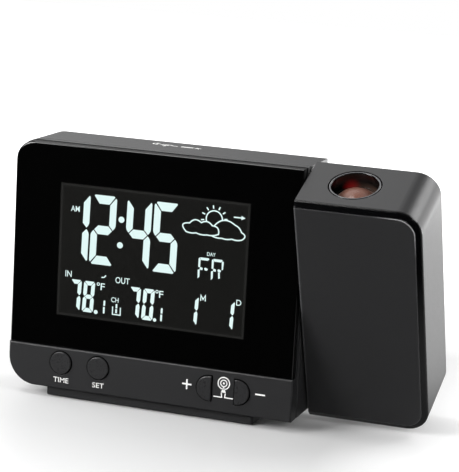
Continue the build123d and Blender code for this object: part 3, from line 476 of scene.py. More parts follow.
@dataclass(frozen=True)
class PrintedAcrylic(Finish):
    """Polished acrylic sheet, printed black behind, with a clearer window over the display."""

    border: str
    window: str
    rim: str
    window_middle: Point
    window_size: Point
    rim_mm: Point = (1.44, 0.54)  # inside the window's edge, where the rim starts and is full
    fade_mm: float = 0.25
    roughness: float = 0.035
    wipe_band: Point = (0.35, 0.75)  # of the wipe marks' noise
    wiped: float = 2.2  # times as rough where a cloth has left marks
    wipe_mm: float = 20.0
    cut_roughness: float = 0.5
    cut_start_mm: float = 0.5  # behind the front face
    cut_fade_mm: float = 0.1
    ior: float = 1.49

    def paint(self, bench: Bench) -> None:
        """Build the window's edge, the polish's faint wipe marks and the matt cut edge.

        Args:
            bench: the material in the making.
        """
        (across, height), (wide, high) = self.window_middle, self.window_size
        size = bench.vector("ABSOLUTE", bench.vector("SUBTRACT", bench.mm, (across, 0, height)))
        past_x, _, past_z = bench.axes(bench.vector("SUBTRACT", size, (wide / 2, 0, high / 2)))
        outside = bench.largest(past_x, past_z)
        inside = bench.ramp(outside, self.fade_mm, -self.fade_mm)
        rim = bench.ramp(outside, *(-width for width in self.rim_mm))
        wipes, rough = bench.noise(self.wipe_mm, 6.0, 0.55, distortion=1.5), self.roughness
        bench.set(
            IOR=self.ior,
            Base_Color=bench.tone(inside, self.border, bench.tone(rim, self.window, self.rim)),
            Roughness=bench.ramp(wipes, *self.wipe_band, rough, rough * self.wiped),
        )
        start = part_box("display_panel")[0].y / MM + self.cut_start_mm
        cut = bench.ramp(bench.axes(bench.mm)[1], start, start + self.cut_fade_mm)
        bench.overlay(cut, self.border, self.cut_roughness)


@dataclass(frozen=True)
class WorkedMetal(Finish):
    """Metal with the marks of how it was worked: drawn, rolled, extruded or plated."""

    colour: str
    dull: str
    roughness: float
    line_mm: Place
    depth_mm: float = 0.003
    edge_mm: float = 0.15
    dull_patch_mm: float = 2.0
    rough_shares: Point = (0.75, 1.3)  # of the roughness, between the lines and on them

    def paint(self, bench: Bench) -> None:
        """Build the working lines, the dull patches and the rounded edges.

        Args:
            bench: the material in the making.
        """
        scale = tuple(1 / length for length in self.line_mm)
        run = bench.add("Mapping", {"Vector": bench.mm, "Scale": scale}).outputs[0]
        lines = bench.add("TexNoise", {"Vector": run, "Scale": 1.0, "Detail": 3.0}).outputs[0]
        spots = {"Vector": bench.mm, "Scale": 1 / self.dull_patch_mm}
        patches = bench.add("TexVoronoi", spots, feature="SMOOTH_F1").outputs[0]
        rough = (self.roughness * share for share in self.rough_shares)
        rounded, _ = bench.round_edges(self.edge_mm)
        bench.set(
            Metallic=1.0,
            Base_Color=bench.tone(patches, self.colour, self.dull),
            Roughness=bench.ramp(lines, 0.0, 1.0, *rough),
            Normal=bench.bump(lines, self.depth_mm, 0.8, rounded),
        )


@dataclass(frozen=True)
class SolderMask(Finish):
    """Printed circuit board: lacquer over copper tracks, with tinned pads."""

    mask: str
    track: str
    pad: str
    track_mm: float = 1.3
    track_relief_mm: float = 0.03
    pad_pitch_mm: float = 2.54
    pad_reach: Point = (0.17, 0.12)  # in pitches, where a pad ends and is full
    pad_scatter: float = 0.35
    lane_scale: float = 0.12
    roughness: float = 0.3
    ior: float = 1.55

    def paint(self, bench: Bench) -> None:
        """Build the tracks under the lacquer and the pads that it leaves bare.

        Args:
            bench: the material in the making.
        """
        cells = {"Vector": bench.mm, "Scale": self.lane_scale}
        wander = bench.add("TexVoronoi", cells, distance="MANHATTAN").outputs["Position"]
        lanes = bench.wave(wander, "DIAGONAL", 0.3 / self.track_mm)
        rows = bench.wave(bench.mm, "X", 0.3 / self.track_mm)
        copper = bench.ramp(bench.product(lanes, rows), 0.4, 0.5)
        pitch = {"Vector": bench.mm, "Scale": 1 / self.pad_pitch_mm, "Randomness": self.pad_scatter}
        tinned = bench.ramp(bench.add("TexVoronoi", pitch).outputs[0], *self.pad_reach)
        lacquer = bench.tone(copper, self.mask, self.track)
        bench.set(
            Roughness=self.roughness,
            IOR=self.ior,
            Base_Color=bench.tone(tinned, lacquer, self.pad),
            Metallic=tinned,
            Normal=bench.bump(copper, self.track_relief_mm, 0.6),
        )


@dataclass(frozen=True)
class CellSleeve(Finish):
    """A dry cell: shrunk printed sleeve with a paler band, and bare steel at its ends."""

    sleeve: str
    band: str
    steel: str
    middle_x: float
    sleeve_length: float
    band_width: float = 7.0
    fade_mm: Point = (0.1, 0.2)  # of the sleeve's end and of the band's
    wrinkle_mm: float = 1.25
    wrinkle_depth_mm: float = 0.02
    roughness: Point = (0.2, 0.36)

    def paint(self, bench: Bench) -> None:
        """Build the sleeve's two tones by the distance along the cell.

        Args:
            bench: the material in the making.
        """
        reach, half = bench.from_middle(self.middle_x), self.sleeve_length / 2
        bare = bench.ramp(reach, half - self.fade_mm[0], half)
        start = half - self.band_width
        ringed = bench.ramp(reach, start, start + self.fade_mm[1])
        wrap = bench.noise(self.wrinkle_mm, detail=3.0)
        bench.set(
            Base_Color=bench.tone(bare, bench.tone(ringed, self.sleeve, self.band), self.steel),
            Metallic=bare,
            Roughness=bench.ramp(wrap, 0.0, 1.0, *self.roughness),
            Normal=bench.bump(wrap, self.wrinkle_depth_mm, 0.5),
        )


@dataclass(frozen=True)
class ClearOptic(Finish):
    """Polished clear or tinted optical plastic or glass."""

    colour: str
    roughness: float = 0.02
    ior: float = 1.49
    clearness: float = 1.0
    haze_mm: float = 4.0
    haze_band: Point = (0.3, 0.75)  # of the haze's noise
    hazed: float = 2.5  # times as rough where dust and fingers have dulled it

    def paint(self, bench: Bench) -> None:
        """Build the clear body and the faint haze of dust and handling on it.

        Args:
            bench: the material in the making.
        """
        haze, rough = bench.noise(self.haze_mm, detail=5.0), self.roughness
        bench.set(
            Base_Color=self.colour,
            IOR=self.ior,
            Transmission_Weight=self.clearness,
            Roughness=bench.ramp(haze, *self.haze_band, rough, rough * self.hazed),
        )


@dataclass(frozen=True)
class CoatedLens(ClearOptic):
    """A lens with an anti-reflective coating: pink where it is thick, paler towards its rim."""

    body: str = "#8c6254"
    rim: str = "#d0b8ae"
    rim_radii: Point = (5.6, 7.0)  # where the rim starts and is full
    # painted reflection: the glow that stands in for the lamp's red light
    glow: str = "#ff2a30"
    glow_place: Place = (-2.4, 6.2, -1.2)  # from the crown
    glow_reach: float = 3.0
    glow_strength: float = 0.25

    def paint(self, bench: Bench) -> None:
        """Build the clear body, the coating's tones by radius and the lamp's red reflection,
        painted on as glow.

        Args:
            bench: the material in the making.
        """
        super().paint(bench)
        place = bench.vector("SUBTRACT", bench.in_arm(), crown_of("projection_lens"))
        radius = bench.measure("LENGTH", bench.vector("MULTIPLY", place, (1, 1, 0)))
        reach = bench.measure("DISTANCE", place, self.glow_place)
        light = bench.ramp(reach, self.glow_reach, 0.0, 0.0, self.glow_strength, "SMOOTHERSTEP")
        bench.set(
            Base_Color=bench.tone(bench.ramp(radius, *self.rim_radii), self.body, self.rim),
            Emission_Color=self.glow,
            Emission_Strength=light,
        )


@dataclass(frozen=True)
class WoundRod(Finish):
    """A sintered ferrite rod with a coil of lacquered copper wire round part of it."""

    rod: str
    wire: str
    wire_dark: str
    middle_x: float
    coil_length: float
    coil_fade_mm: float = 0.1
    wire_mm: float = 0.45  # the real wire is 0.1 mm; drawn coarser so that its turns show
    relief_mm: float = 0.06
    grain_mm: float = 0.5
    roughness: Point = (0.3, 0.5)

    def paint(self, bench: Bench) -> None:
        """Build the ferrite's grain and the wire's turns by the distance along the rod.

        Args:
            bench: the material in the making.
        """
        reach, half = bench.from_middle(self.middle_x), self.coil_length / 2
        wound = bench.ramp(reach, half + self.coil_fade_mm, half)
        # One band of a wave texture is 2 pi / (20 x scale) long
        turns = bench.wave(bench.mm, "X", 0.314 / self.wire_mm, distortion=0.3)
        grain = bench.noise(self.grain_mm, detail=6.0)
        relief = bench.number(wound, grain, turns)
        bench.set(
            Base_Color=bench.tone(wound, self.rod, bench.tone(turns, self.wire_dark, self.wire)),
            Metallic=wound,
            Roughness=bench.ramp(grain, 0.0, 1.0, *self.roughness),
            Normal=bench.bump(relief, self.relief_mm, 0.8),
        )


@dataclass(frozen=True)
class DisplayLight(Finish):
    """Light through the open parts of the display, uneven as a side-lit diffuser leaves it."""

    colour: str
    far: str
    unlit: str = "#050606"
    patch_mm: float = 30.0
    strength: float = 1.0
    roughness: float = 0.3

    def paint(self, bench: Bench) -> None:
        """Build the light and its slow fall-off away from the lamps behind.

        Args:
            bench: the material in the making.
        """
        spread = bench.noise(self.patch_mm, detail=1.0)
        bench.set(
            Base_Color=self.unlit,
            Roughness=self.roughness,
            Emission_Strength=self.strength,
            Emission_Color=bench.tone(spread, self.colour, self.far),
        )


@dataclass(frozen=True)
class PrintedInk(Finish):
    """Screen-printed ink on a moulding: matt, thin, and a little open where the mesh left it."""

    colour: str
    thin: str
    mesh_mm: float = 0.35
    thin_band: Point = (0.45, 0.75)  # of the mesh's noise
    depth_mm: float = 0.01
    roughness: float = 0.6

    def paint(self, bench: Bench) -> None:
        """Build the ink's uneven cover.

        Args:
            bench: the material in the making.
        """
        mesh = bench.noise(self.mesh_mm, detail=2.0)
        bench.set(
            Roughness=self.roughness,
            Base_Color=bench.tone(bench.ramp(mesh, *self.thin_band), self.colour, self.thin),
            Normal=bench.bump(mesh, self.depth_mm, 0.5),
        )


# Acrylonitrile butadiene styrene, moulded in a lightly spark-eroded tool: a dark satin that
# turns pale only where it is seen along the surface. The real grain is about 0.1 mm; it is
# drawn three times as coarse so that it shows.
HOUSING_ABS = MouldedPlastic("Spark-eroded ABS", "#2c2c2d", "#29292a", "#464648", 0.34)
# The arm's cover has that skin on its face, a polished bevel painted near black as shade, and a
# highlight painted pale on the arris near its upper right corner.
COVER_ABS = PolishedBevel(
    "Spark-eroded ABS with a polished bevel", "#2c2c2d", "#29292a", "#303032", 0.34, edge_mm=1.1
)
# The same plastic from a smoother tool, so a key catches a slightly sharper light.
KEY_ABS = MouldedPlastic("Satin ABS", "#2d2d2e", "#2a2a2b", "#58585a", 0.3, grain_mm=0.4)
# ABS from a polished tool: near black with a clear highlight, a highlight painted pale on its rim's
# crest, and a red glow painted where the lamp's light strays.
BEZEL_ABS = PolishedRim(
    "Polished ABS", "#040405", "#030304", "#3a3a3c", 0.16, 0.04, grain_mm=1.5, grain_depth_mm=0.001
)
# Matt black ABS that swallows stray light inside the projector.
OPTICS_ABS = MouldedPlastic("Matt black ABS", "#101011", "#0c0c0d", "#1d1d1e", 0.7)
BARREL_ABS = LitBore("Matt black ABS by the lens", "#0d0b0a", "#0a0908", "#1c1816", 0.45)
SWITCH_NYLON = MouldedPlastic("Moulded nylon", "#161617", "#111112", "#2c2c2e", 0.5)
SOUNDER_PBT = MouldedPlastic("Moulded PBT", "#151516", "#111112", "#2e2e30", 0.45)
# Natural acetal: a waxy off-white.
BUSH_ACETAL = MouldedPlastic("Natural acetal", "#d6d3c8", "#cbc8bc", "#e2dfd6", 0.38, ior=1.48)
SHAFT_NYLON = MouldedPlastic("Glass-filled nylon", "#222223", "#1b1b1c", "#3a3a3c", 0.55)
# Moulded rubber: dead matt, with dust in its skin.
PAD_RUBBER = MouldedPlastic(
    "Moulded rubber", "#1b1b1b", "#242423", "#3a3a39", 0.88, grain_mm=0.5, grain_depth_mm=0.03
)
# Epoxy poured over a bare chip: a wet black dome with slow ripples.
CHIP_EPOXY = MouldedPlastic(
    "Poured epoxy", "#0b0b0c", "#08080a", "#141416", 0.1, 0.03, grain_mm=3.0, grain_depth_mm=0.03
)
DIFFUSER_ACRYLIC = MouldedPlastic(
    "Milky acrylic", "#e6ebea", "#dfe5e4", "#f2f5f4", 0.25, grain_mm=2.0, ior=1.49
)
CONDENSER_ACRYLIC = ClearOptic("Clear acrylic", "#fbf6f4")
# Coated acrylic: it sends part of the light back pink and lets the rest through.
LENS_ACRYLIC = CoatedLens("Coated optical acrylic", "#8c6254", roughness=0.2, clearness=0.3)
DISPLAY_GLASS = ClearOptic("Display glass", "#8fa39e", clearness=0.5, ior=1.52)
# Black-printed acrylic sheet, polished on its face and cut matt round its edge, over a window
# that is slightly paler where the display's glass shows through.
PANEL_ACRYLIC = PrintedAcrylic(
    "Polished acrylic, printed behind",
    border="#030303",
    window="#171716",
    rim="#222221",
    window_middle=(-0.3, 59.3),
    window_size=(76.4, 51.7),
)
ZINC_STEEL = WorkedMetal("Zinc-plated steel", "#b9bbbe", "#a2a4a6", 0.32, (2.0, 2.0, 2.0))
SPRING_STEEL = WorkedMetal("Rolled spring steel", "#8d8f92", "#77797b", 0.3, (0.2, 6.0, 6.0))
TINNED_STEEL = WorkedMetal("Tinned sheet steel", "#c4c3bf", "#adaca8", 0.28, (6.0, 6.0, 0.5))
NICKEL_STRIP = WorkedMetal("Nickel-plated strip", "#c9c6bd", "#b3b0a7", 0.2, (4.0, 0.3, 4.0))
COPPER_FOIL = WorkedMetal("Bare copper foil", "#c98a63", "#a66d4b", 0.35, (5.0, 0.4, 5.0))
SINK_ALUMINIUM = WorkedMetal("Extruded aluminium", "#cfd1d3", "#babcbe", 0.38, (8.0, 0.25, 8.0))
# Sintered ferrite, dull and nearly black, with a close coil of lacquered copper wire.
ANTENNA_ROD = WoundRod(
    "Ferrite with a copper coil", "#2b2b2d", "#b5653c", "#5c2f1c", middle_x=-21.45, coil_length=16.0
)
GREEN_BOARD = SolderMask("Green solder mask on FR4", "#14582f", "#1f7240", "#c9c4b4")
WHITE_BOARD = SolderMask("White solder mask on aluminium", "#dedfda", "#cfd0ca", "#b9b29c")
CELL_SLEEVE = CellSleeve(
    "Shrunk PVC sleeve", "#31405c", "#9aa3ad", "#c2c3c2", middle_x=-14.0, sleeve_length=42.9
)
WHITE_INK = PrintedInk("White screen ink", "#f4f4f2", "#dededc")
GREY_INK = PrintedInk("Grey screen ink", "#a9a9a8", "#8d8d8c")
DISPLAY_LIGHT = DisplayLight("Display light", "#eafdfb", "#dcf6f4")


# ---------------------------------------------------------------- shapes
@dataclass(frozen=True)
class Sheet:
    """A flat face of the object on which something is printed or lit."""

    origin: Place
    across: Place
    up: Place
    proud: float = 0.02  # how far the pieces stand out of it; they reach as far into it

    def matrix(self) -> Matrix:
        """Return the matrix that takes sheet millimetres to the object's metres."""
        across, up = Vector(self.across), Vector(self.up)
        turned = Matrix((across, up, across.cross(up))).transposed().to_4x4()
        return Matrix.Translation(Vector(self.origin) * MM) @ turned @ Matrix.Scale(MM, 4)


def in_millimetres(node: str) -> tuple[Vector, Vector]:
    """Return a CAD node's lowest and highest corners in millimetres."""
    low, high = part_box(node)
    return low / MM, high / MM


CASE_HIGH = in_millimetres("rear_housing")[1]
FRONT = Sheet((0, in_millimetres("front_frame")[0].y, 0), (1, 0, 0), (0, 0, 1))
DISPLAY = Sheet(FRONT.origin, FRONT.across, FRONT.up, proud=0.03)
TOP = Sheet((0, 0, CASE_HIGH.z), (1, 0, 0), (0, 1, 0), proud=0.03)
BACK = Sheet((0, CASE_HIGH.y, 0), (-1, 0, 0), (0, 0, 1))


# A mitre at a sharp corner grows by no more than one over these
LEAST_INSET_MITRE = 0.5
LEAST_STROKE_MITRE = 0.4
WELD_MM = 1e-5


def inset(points: Sequence[Point], by: float) -> list[Point]:
    """Move a closed outline inwards by the same width all round.

    Args:
        points: the outline's corners, in either direction.
        by: how far it moves.

    Returns:
        The smaller outline's corners.
    """
    path = [Vector(p) for p in points]
    area = sum(a.cross(b) for a, b in zip(path, path[1:] + path[:1]))
    side = by if area > 0 else -by
    moved = []
    for before, here, after in zip(path[-1:] + path[:-1], path, path[1:] + path[:1]):
        legs = ((here - before).normalized(), (after - here).normalized())
        normals = [Vector((-leg.y, leg.x)) for leg in legs]
        middle = (normals[0] + normals[1]).normalized()
        reach = side / max(LEAST_INSET_MITRE, middle.dot(normals[0]))
        moved.append(tuple(here + middle * reach))
    return moved


def lobes(
    corners: Sequence[tuple[Point, float]], closed: bool = False, steps: int = 9
) -> list[Point]:
    """Join corners by lobes that bulge to the left of the way.

    Args:
        corners: each corner, with how far the lobe after it bulges, as a share of its length.
        closed: whether the last lobe returns to the first corner.
        steps: how many short runs each lobe gets.

    Returns:
        The line's points.
    """
    line = []
    ends = corners[1:] + corners[:1] if closed else corners[1:]
    for (corner, bulge), (following, _) in zip(corners, ends):
        foot, run = Vector(corner), Vector(following) - Vector(corner)
        out = Vector((-run.y, run.x)) * (4 * bulge)
        for step in range(steps):
            t = step / steps
            line.append(tuple(foot + run * t + out * (t * (1 - t))))
    return line if closed else [*line, corners[-1][0]]


class FlatArt:
    """Flat shapes in millimetres on one sheet, given a thickness at the end."""

    def __init__(self) -> None:
        """Start with nothing drawn."""
        self.mesh = bmesh.new()

    def polygon(self, points: Iterable[Point]) -> None:
        """Fill an outline.

        Args:
            points: its corners, in either direction.
        """
        corners = [self.mesh.verts.new((x, y, 0)) for x, y in points]
        face = self.mesh.faces.new(corners)
        face.normal_update()
        if face.normal.z < 0:
            face.normal_flip()

    def disc(self, middle: Point, radius: float, steps: int = 32) -> None:
        """Fill a circle."""
        turns = (2 * pi * i / steps for i in range(steps))
        self.polygon((middle[0] + radius * cos(t), middle[1] + radius * sin(t)) for t in turns)

    def bar(self, low: Point, high: Point) -> None:
        """Fill an upright rectangle between two corners."""
        self.polygon(((low[0], low[1]), (high[0], low[1]), (high[0], high[1]), (low[0], high[1])))

    def stroke(self, points: Sequence[Point], width: float, closed: bool = False) -> None:
        """Draw a line of even width with mitred corners.

        Args:
            points: the middle of the line.
            width: how wide the line is.
            closed: whether the line returns to its start.
        """
        path = [Vector(p) for p in points]
        count = len(path)
        sides: list[tuple] = []
        for i, point in enumerate(path):
            before = path[i - 1] if closed or i else None
            after = path[(i + 1) % count] if closed or i < count - 1 else None
            legs = [
                (end - start).normalized()
                for start, end in ((before, point), (point, after))
                if start is not None and end is not None
            ]
            along = sum(legs, Vector((0, 0))).normalized()
            normal = Vector((-along.y, along.x))
            lean = max(LEAST_STROKE_MITRE, normal.dot(Vector((-legs[0].y, legs[0].x))))
            offset = normal * (width / 2 / lean)
            sides.append(
                tuple(self.mesh.verts.new((*(point + s * offset), 0)) for s in (1, -1))
            )
        pairs = list(zip(sides, sides[1:] + sides[:1]))
        for (left, right), (next_left, next_right) in pairs if closed else pairs[:-1]:
            self.mesh.faces.new((left, right, next_right, next_left))

    def arc(
        self, middle: Point, radius: float, width: float, start: float = 0.0, end: float = 360.0
    ) -> None:
        """Draw part of a circle, or all of it, with a line of even width.

        Args:
            middle: its middle.
            radius: its radius, to the middle of the line.
            width: how wide the line is.
            start: where it starts, in degrees.
            end: where it ends.
        """
        whole = end - start >= 360
        steps = max(8, round((end - start) / 10))
        turns = [radians(start + (end - start) * i / steps) for i in range(steps + (not whole))]
        points = [(middle[0] + radius * cos(t), middle[1] + radius * sin(t)) for t in turns]
        self.stroke(points, width, closed=whole)

    def rays(self, middle: Point, reach: Point, width: float, turns: Iterable[float]) -> None:
        """Draw short lines that point away from a middle.

        Args:
            middle: what they point away from.
            reach: the radii where each starts and ends.
            width: how wide they are.
            turns: the direction of each in degrees.
        """
        for turn in turns:
            along = Vector((cos(radians(turn)), sin(radians(turn))))
            self.stroke([Vector(middle) + along * end for end in reach], width)

    def words(self, text: str, low: Point, high: Point, weight: float = 0.0) -> None:
        """Set plain letters so that they fill a box.

        Args:
            text: the letters.
            low: the box's lower left corner.
            high: its upper right corner.
            weight: how much each outline is grown, as a share of the letters' size.
        """
        curve = bpy.data.curves.new("letters", "FONT")
        curve.body, curve.offset = text, weight
        holder = bpy.data.objects.new("letters", curve)
        flat = bpy.data.meshes.new_from_object(holder)
        xs = [v.co.x for v in flat.vertices]
        ys = [v.co.y for v in flat.vertices]
        scale_x = (high[0] - low[0]) / (max(xs) - min(xs))
        scale_y = (high[1] - low[1]) / (max(ys) - min(ys))
        placed = [
            self.mesh.verts.new(
                (low[0] + (v.co.x - min(xs)) * scale_x, low[1] + (v.co.y - min(ys)) * scale_y, 0)
            )
            for v in flat.vertices
        ]
        for part in flat.polygons:
            self.mesh.faces.new([placed[i] for i in part.vertices])
        bpy.data.objects.remove(holder)
        bpy.data.curves.remove(curve)
        bpy.data.meshes.remove(flat)

    def make(self, name: str, sheet: Sheet, finish: Finish, body: Body) -> bpy.types.Object:
        """Turn the drawing into a thin solid piece on its sheet.

        Args:
            name: the piece's name.
            sheet: where it lies.
            finish: how it looks.
            body: the body that it rides on.

        Returns:
            The piece.
        """
        bmesh.ops.remove_doubles(self.mesh, verts=self.mesh.verts, dist=WELD_MM)
        for vert in self.mesh.verts:
            vert.co.z = -sheet.proud
        grown = bmesh.ops.extrude_face_region(self.mesh, geom=list(self.mesh.faces))
        for item in grown["geom"]:
            if isinstance(item, bmesh.types.BMVert):
                item.co.z = sheet.proud
        bmesh.ops.transform(self.mesh, matrix=sheet.matrix(), verts=self.mesh.verts)
        bmesh.ops.recalc_face_normals(self.mesh, faces=self.mesh.faces)
        data = bpy.data.meshes.new(name)
        self.mesh.to_mesh(data)
        self.mesh.free()
        data.materials.append(finish.material())
        piece = bpy.data.objects.new(name, data)
        bpy.context.scene.collection.objects.link(piece)
        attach(piece, body.value)
        return piece


# ---------------------------------------------------------------- the clock's sub-assemblies
@dataclass
class SubAssembly:
    """Pieces that come as one: CAD nodes to dress, and thin pieces of printing or light."""

    finishes: ClassVar[Mapping[Finish, Sequence[str]]]
    made: list[str] = field(default_factory=list, init=False)

    def build(self) -> None:
        """Dress the nodes, then draw what is printed or lit."""
        for finish, nodes in self.finishes.items():
            for node in nodes:
                data = frame["nodes"][node].data
                data.materials.clear()
                data.materials.append(finish.material())
                self.made.append(node)
        self.draw()

    def draw(self) -> None:
        """Draw what is printed or lit, where there is any."""

    def put(
        self, art: FlatArt, name: str, sheet: Sheet, finish: Finish, body: Body = Body.CASE
    ) -> None:
        """Make a drawing into a piece on its sheet, and count it as built."""
        self.made.append(art.make(name, sheet, finish, body).name)


@dataclass
class Casing(SubAssembly):
    """The case's mouldings, with the foot, the screws and the touch marks on top."""

    finishes: ClassVar = {
        HOUSING_ABS: ("front_frame", "rear_housing", "foot"),
        PAD_RUBBER: ("foot_pad",),
        ZINC_STEEL: ("case_screws", "foot_screws"),
        COPPER_FOIL: ("touch_pad",),
    }
    stroke: float = 0.6
    moon: Point = (-8.4, 6.6)
    moon_radius: float = 1.5
    hollow: Point = (-7.2, 6.6)
    hollow_radius: float = 1.2
    touch: Point = (-4.2, 3.4)
    touch_radius: float = 0.7
    wave_radii: Point = (1.7, 3.2)
    bars: tuple[Line, Line] = (((-1.5, 4.8), (0.6, 5.4)), ((2.1, 4.4), (7.1, 6.0)))
    lamp: Point = (8.9, 5.0)
    lamp_radius: float = 0.75
    ray_reach: Point = (1.0, 1.5)
    ray_stroke: float = 0.36

    def draw(self) -> None:
        """Print a moon, a touch with its waves, two bars and a lamp over the touch pad."""
        art = FlatArt()
        art.arc(self.moon, self.moon_radius, self.stroke, 50, 310)
        art.arc(self.hollow, self.hollow_radius, self.stroke, 105, 255)
        for radius in self.wave_radii:
            art.arc(self.touch, radius, self.stroke, 35, 145)
        art.disc(self.touch, self.touch_radius)
        for bar in self.bars:
            art.bar(*bar)
        art.disc(self.lamp, self.lamp_radius)
        art.rays(self.lamp, self.ray_reach, self.ray_stroke, range(0, 360, 60))
        self.put(art, "touch_marks", TOP, WHITE_INK)


class Segment(Enum):
    """The seven bars of a digit, by their usual letters, and how each mirrors a drawn one."""

    A = ("top", False, False)
    B = ("side", False, False)
    C = ("side", False, True)
    D = ("top", False, True)
    E = ("side", True, True)
    F = ("side", True, False)
    G = ("middle", False, False)


DIGIT_SEGMENTS = {
    "0": "ABCDEF",
    "1": "BC",
    "2": "ABGED",
    "4": "FGBC",
    "5": "AFGCD",
    "7": "ABC",
    "8": "ABCDEFG",
}


@dataclass(frozen=True)
class DigitStyle:
    """The proportions of one size of seven-segment digit, in millimetres."""

    width: float
    height: float
    upright: float  # width of a vertical bar
    level: float  # height of a level bar
    slope: float = 0.02
    gap: float = 0.0  # that the joints between bars are widened by

    def outline(self, shape: str) -> list[Point]:
        """Return the outline of a digit's top, upper right or middle bar.

        Args:
            shape: "top", "side" or "middle".

        Returns:
            The outline's corners, from the digit's lower left corner.
        """
        wide, high, bar, beam = self.width, self.height, self.upright, self.level
        middle, unit = high / 2, bar / 2.7
        if shape == "top":
            return [
                (0.75 * unit, high - 0.45 * unit),
                (1.2 * unit, high),
                (wide - 1.2 * unit, high),
                (wide - 0.75 * unit, high - 0.45 * unit),
                (wide - bar - 0.2 * unit, high - beam),
                (bar + 0.2 * unit, high - beam),
            ]
        if shape == "side":
            return [
                (wide - 0.5 * unit, high - 0.75 * unit),
                (wide - 0.1 * unit, high - 1.1 * unit),
                (wide, high - 1.6 * unit),
                (wide, middle + 2.2 * unit),
                (wide - 0.15 * unit, middle + 1.5 * unit),
                (wide - 0.55 * unit, middle + 0.8 * unit),
                (wide - 1.115 * unit, middle + 0.17 * unit),
                (wide - bar, middle + 1.91 * unit),
                (wide - bar, high - beam - 0.15 * unit),
            ]
        return [
            (1.3 * unit, middle),
            (bar + 0.15 * unit, middle + beam / 2),
            (wide - bar - 0.15 * unit, middle + beam / 2),
            (wide - 1.3 * unit, middle),
            (wide - bar - 0.15 * unit, middle - beam / 2),
            (bar + 0.15 * unit, middle - beam / 2),
        ]

    def draw(self, art: FlatArt, digit: str, corner: Point) -> None:
        """Draw one digit.

        Args:
            art: the drawing that takes it.
            digit: the digit.
            corner: its lower left corner.
        """
        for letter in DIGIT_SEGMENTS[digit]:
            shape, flip_x, flip_z = Segment[letter].value
            points = []
            for x, z in self.outline(shape):
                x = self.width - x if flip_x else x
                z = self.height - z if flip_z else z
                points.append((corner[0] + x + self.slope * (z - self.height / 2), corner[1] + z))
            art.polygon(inset(points, self.gap / 2) if self.gap else points)


# The bars of a display letter, from its lower left corner
BAR_SHAPES = {
    "upper": ((0.2, 4.45), (0.2, 7.7), (0.65, 8.1), (1.0, 7.4), (0.95, 4.35)),
    "lower": ((0.05, 3.35), (0.85, 3.65), (0.85, 0.8), (0.15, 0.05)),
    "top": ((0.8, 8.2), (4.15, 8.2), (4.5, 7.85), (3.9, 7.2), (1.15, 7.2)),
    "inner": ((0.75, 4.05), (1.15, 4.5), (1.95, 4.3), (1.95, 3.4), (1.05, 3.45)),
    "outer": ((2.55, 4.2), (3.1, 4.5), (4.1, 4.1), (3.7, 3.35), (2.85, 3.4)),
    "side": ((4.15, 7.2), (4.6, 7.7), (4.95, 7.3), (4.75, 4.4), (4.25, 4.35)),
    "leg": ((2.85, 3.25), (3.55, 3.25), (3.7, 1.0), (3.05, 0.85)),
}
# The two bars of a small decimal 1, from its right side and up from the case's underside
DECIMAL_BARS = (
    ((-0.8, 36.3), (-0.35, 36.1), (-0.1, 36.4), (-0.05, 38.75), (-0.8, 38.75)),
    ((-0.75, 39.2), (0, 39.2), (0.05, 41.0), (-0.15, 41.4), (-0.7, 41.1)),
)
LETTER_BARS = {
    "F": ("upper", "lower", "top", "inner", "outer"),
    "R": ("upper", "lower", "top", "inner", "outer", "side", "leg"),
}


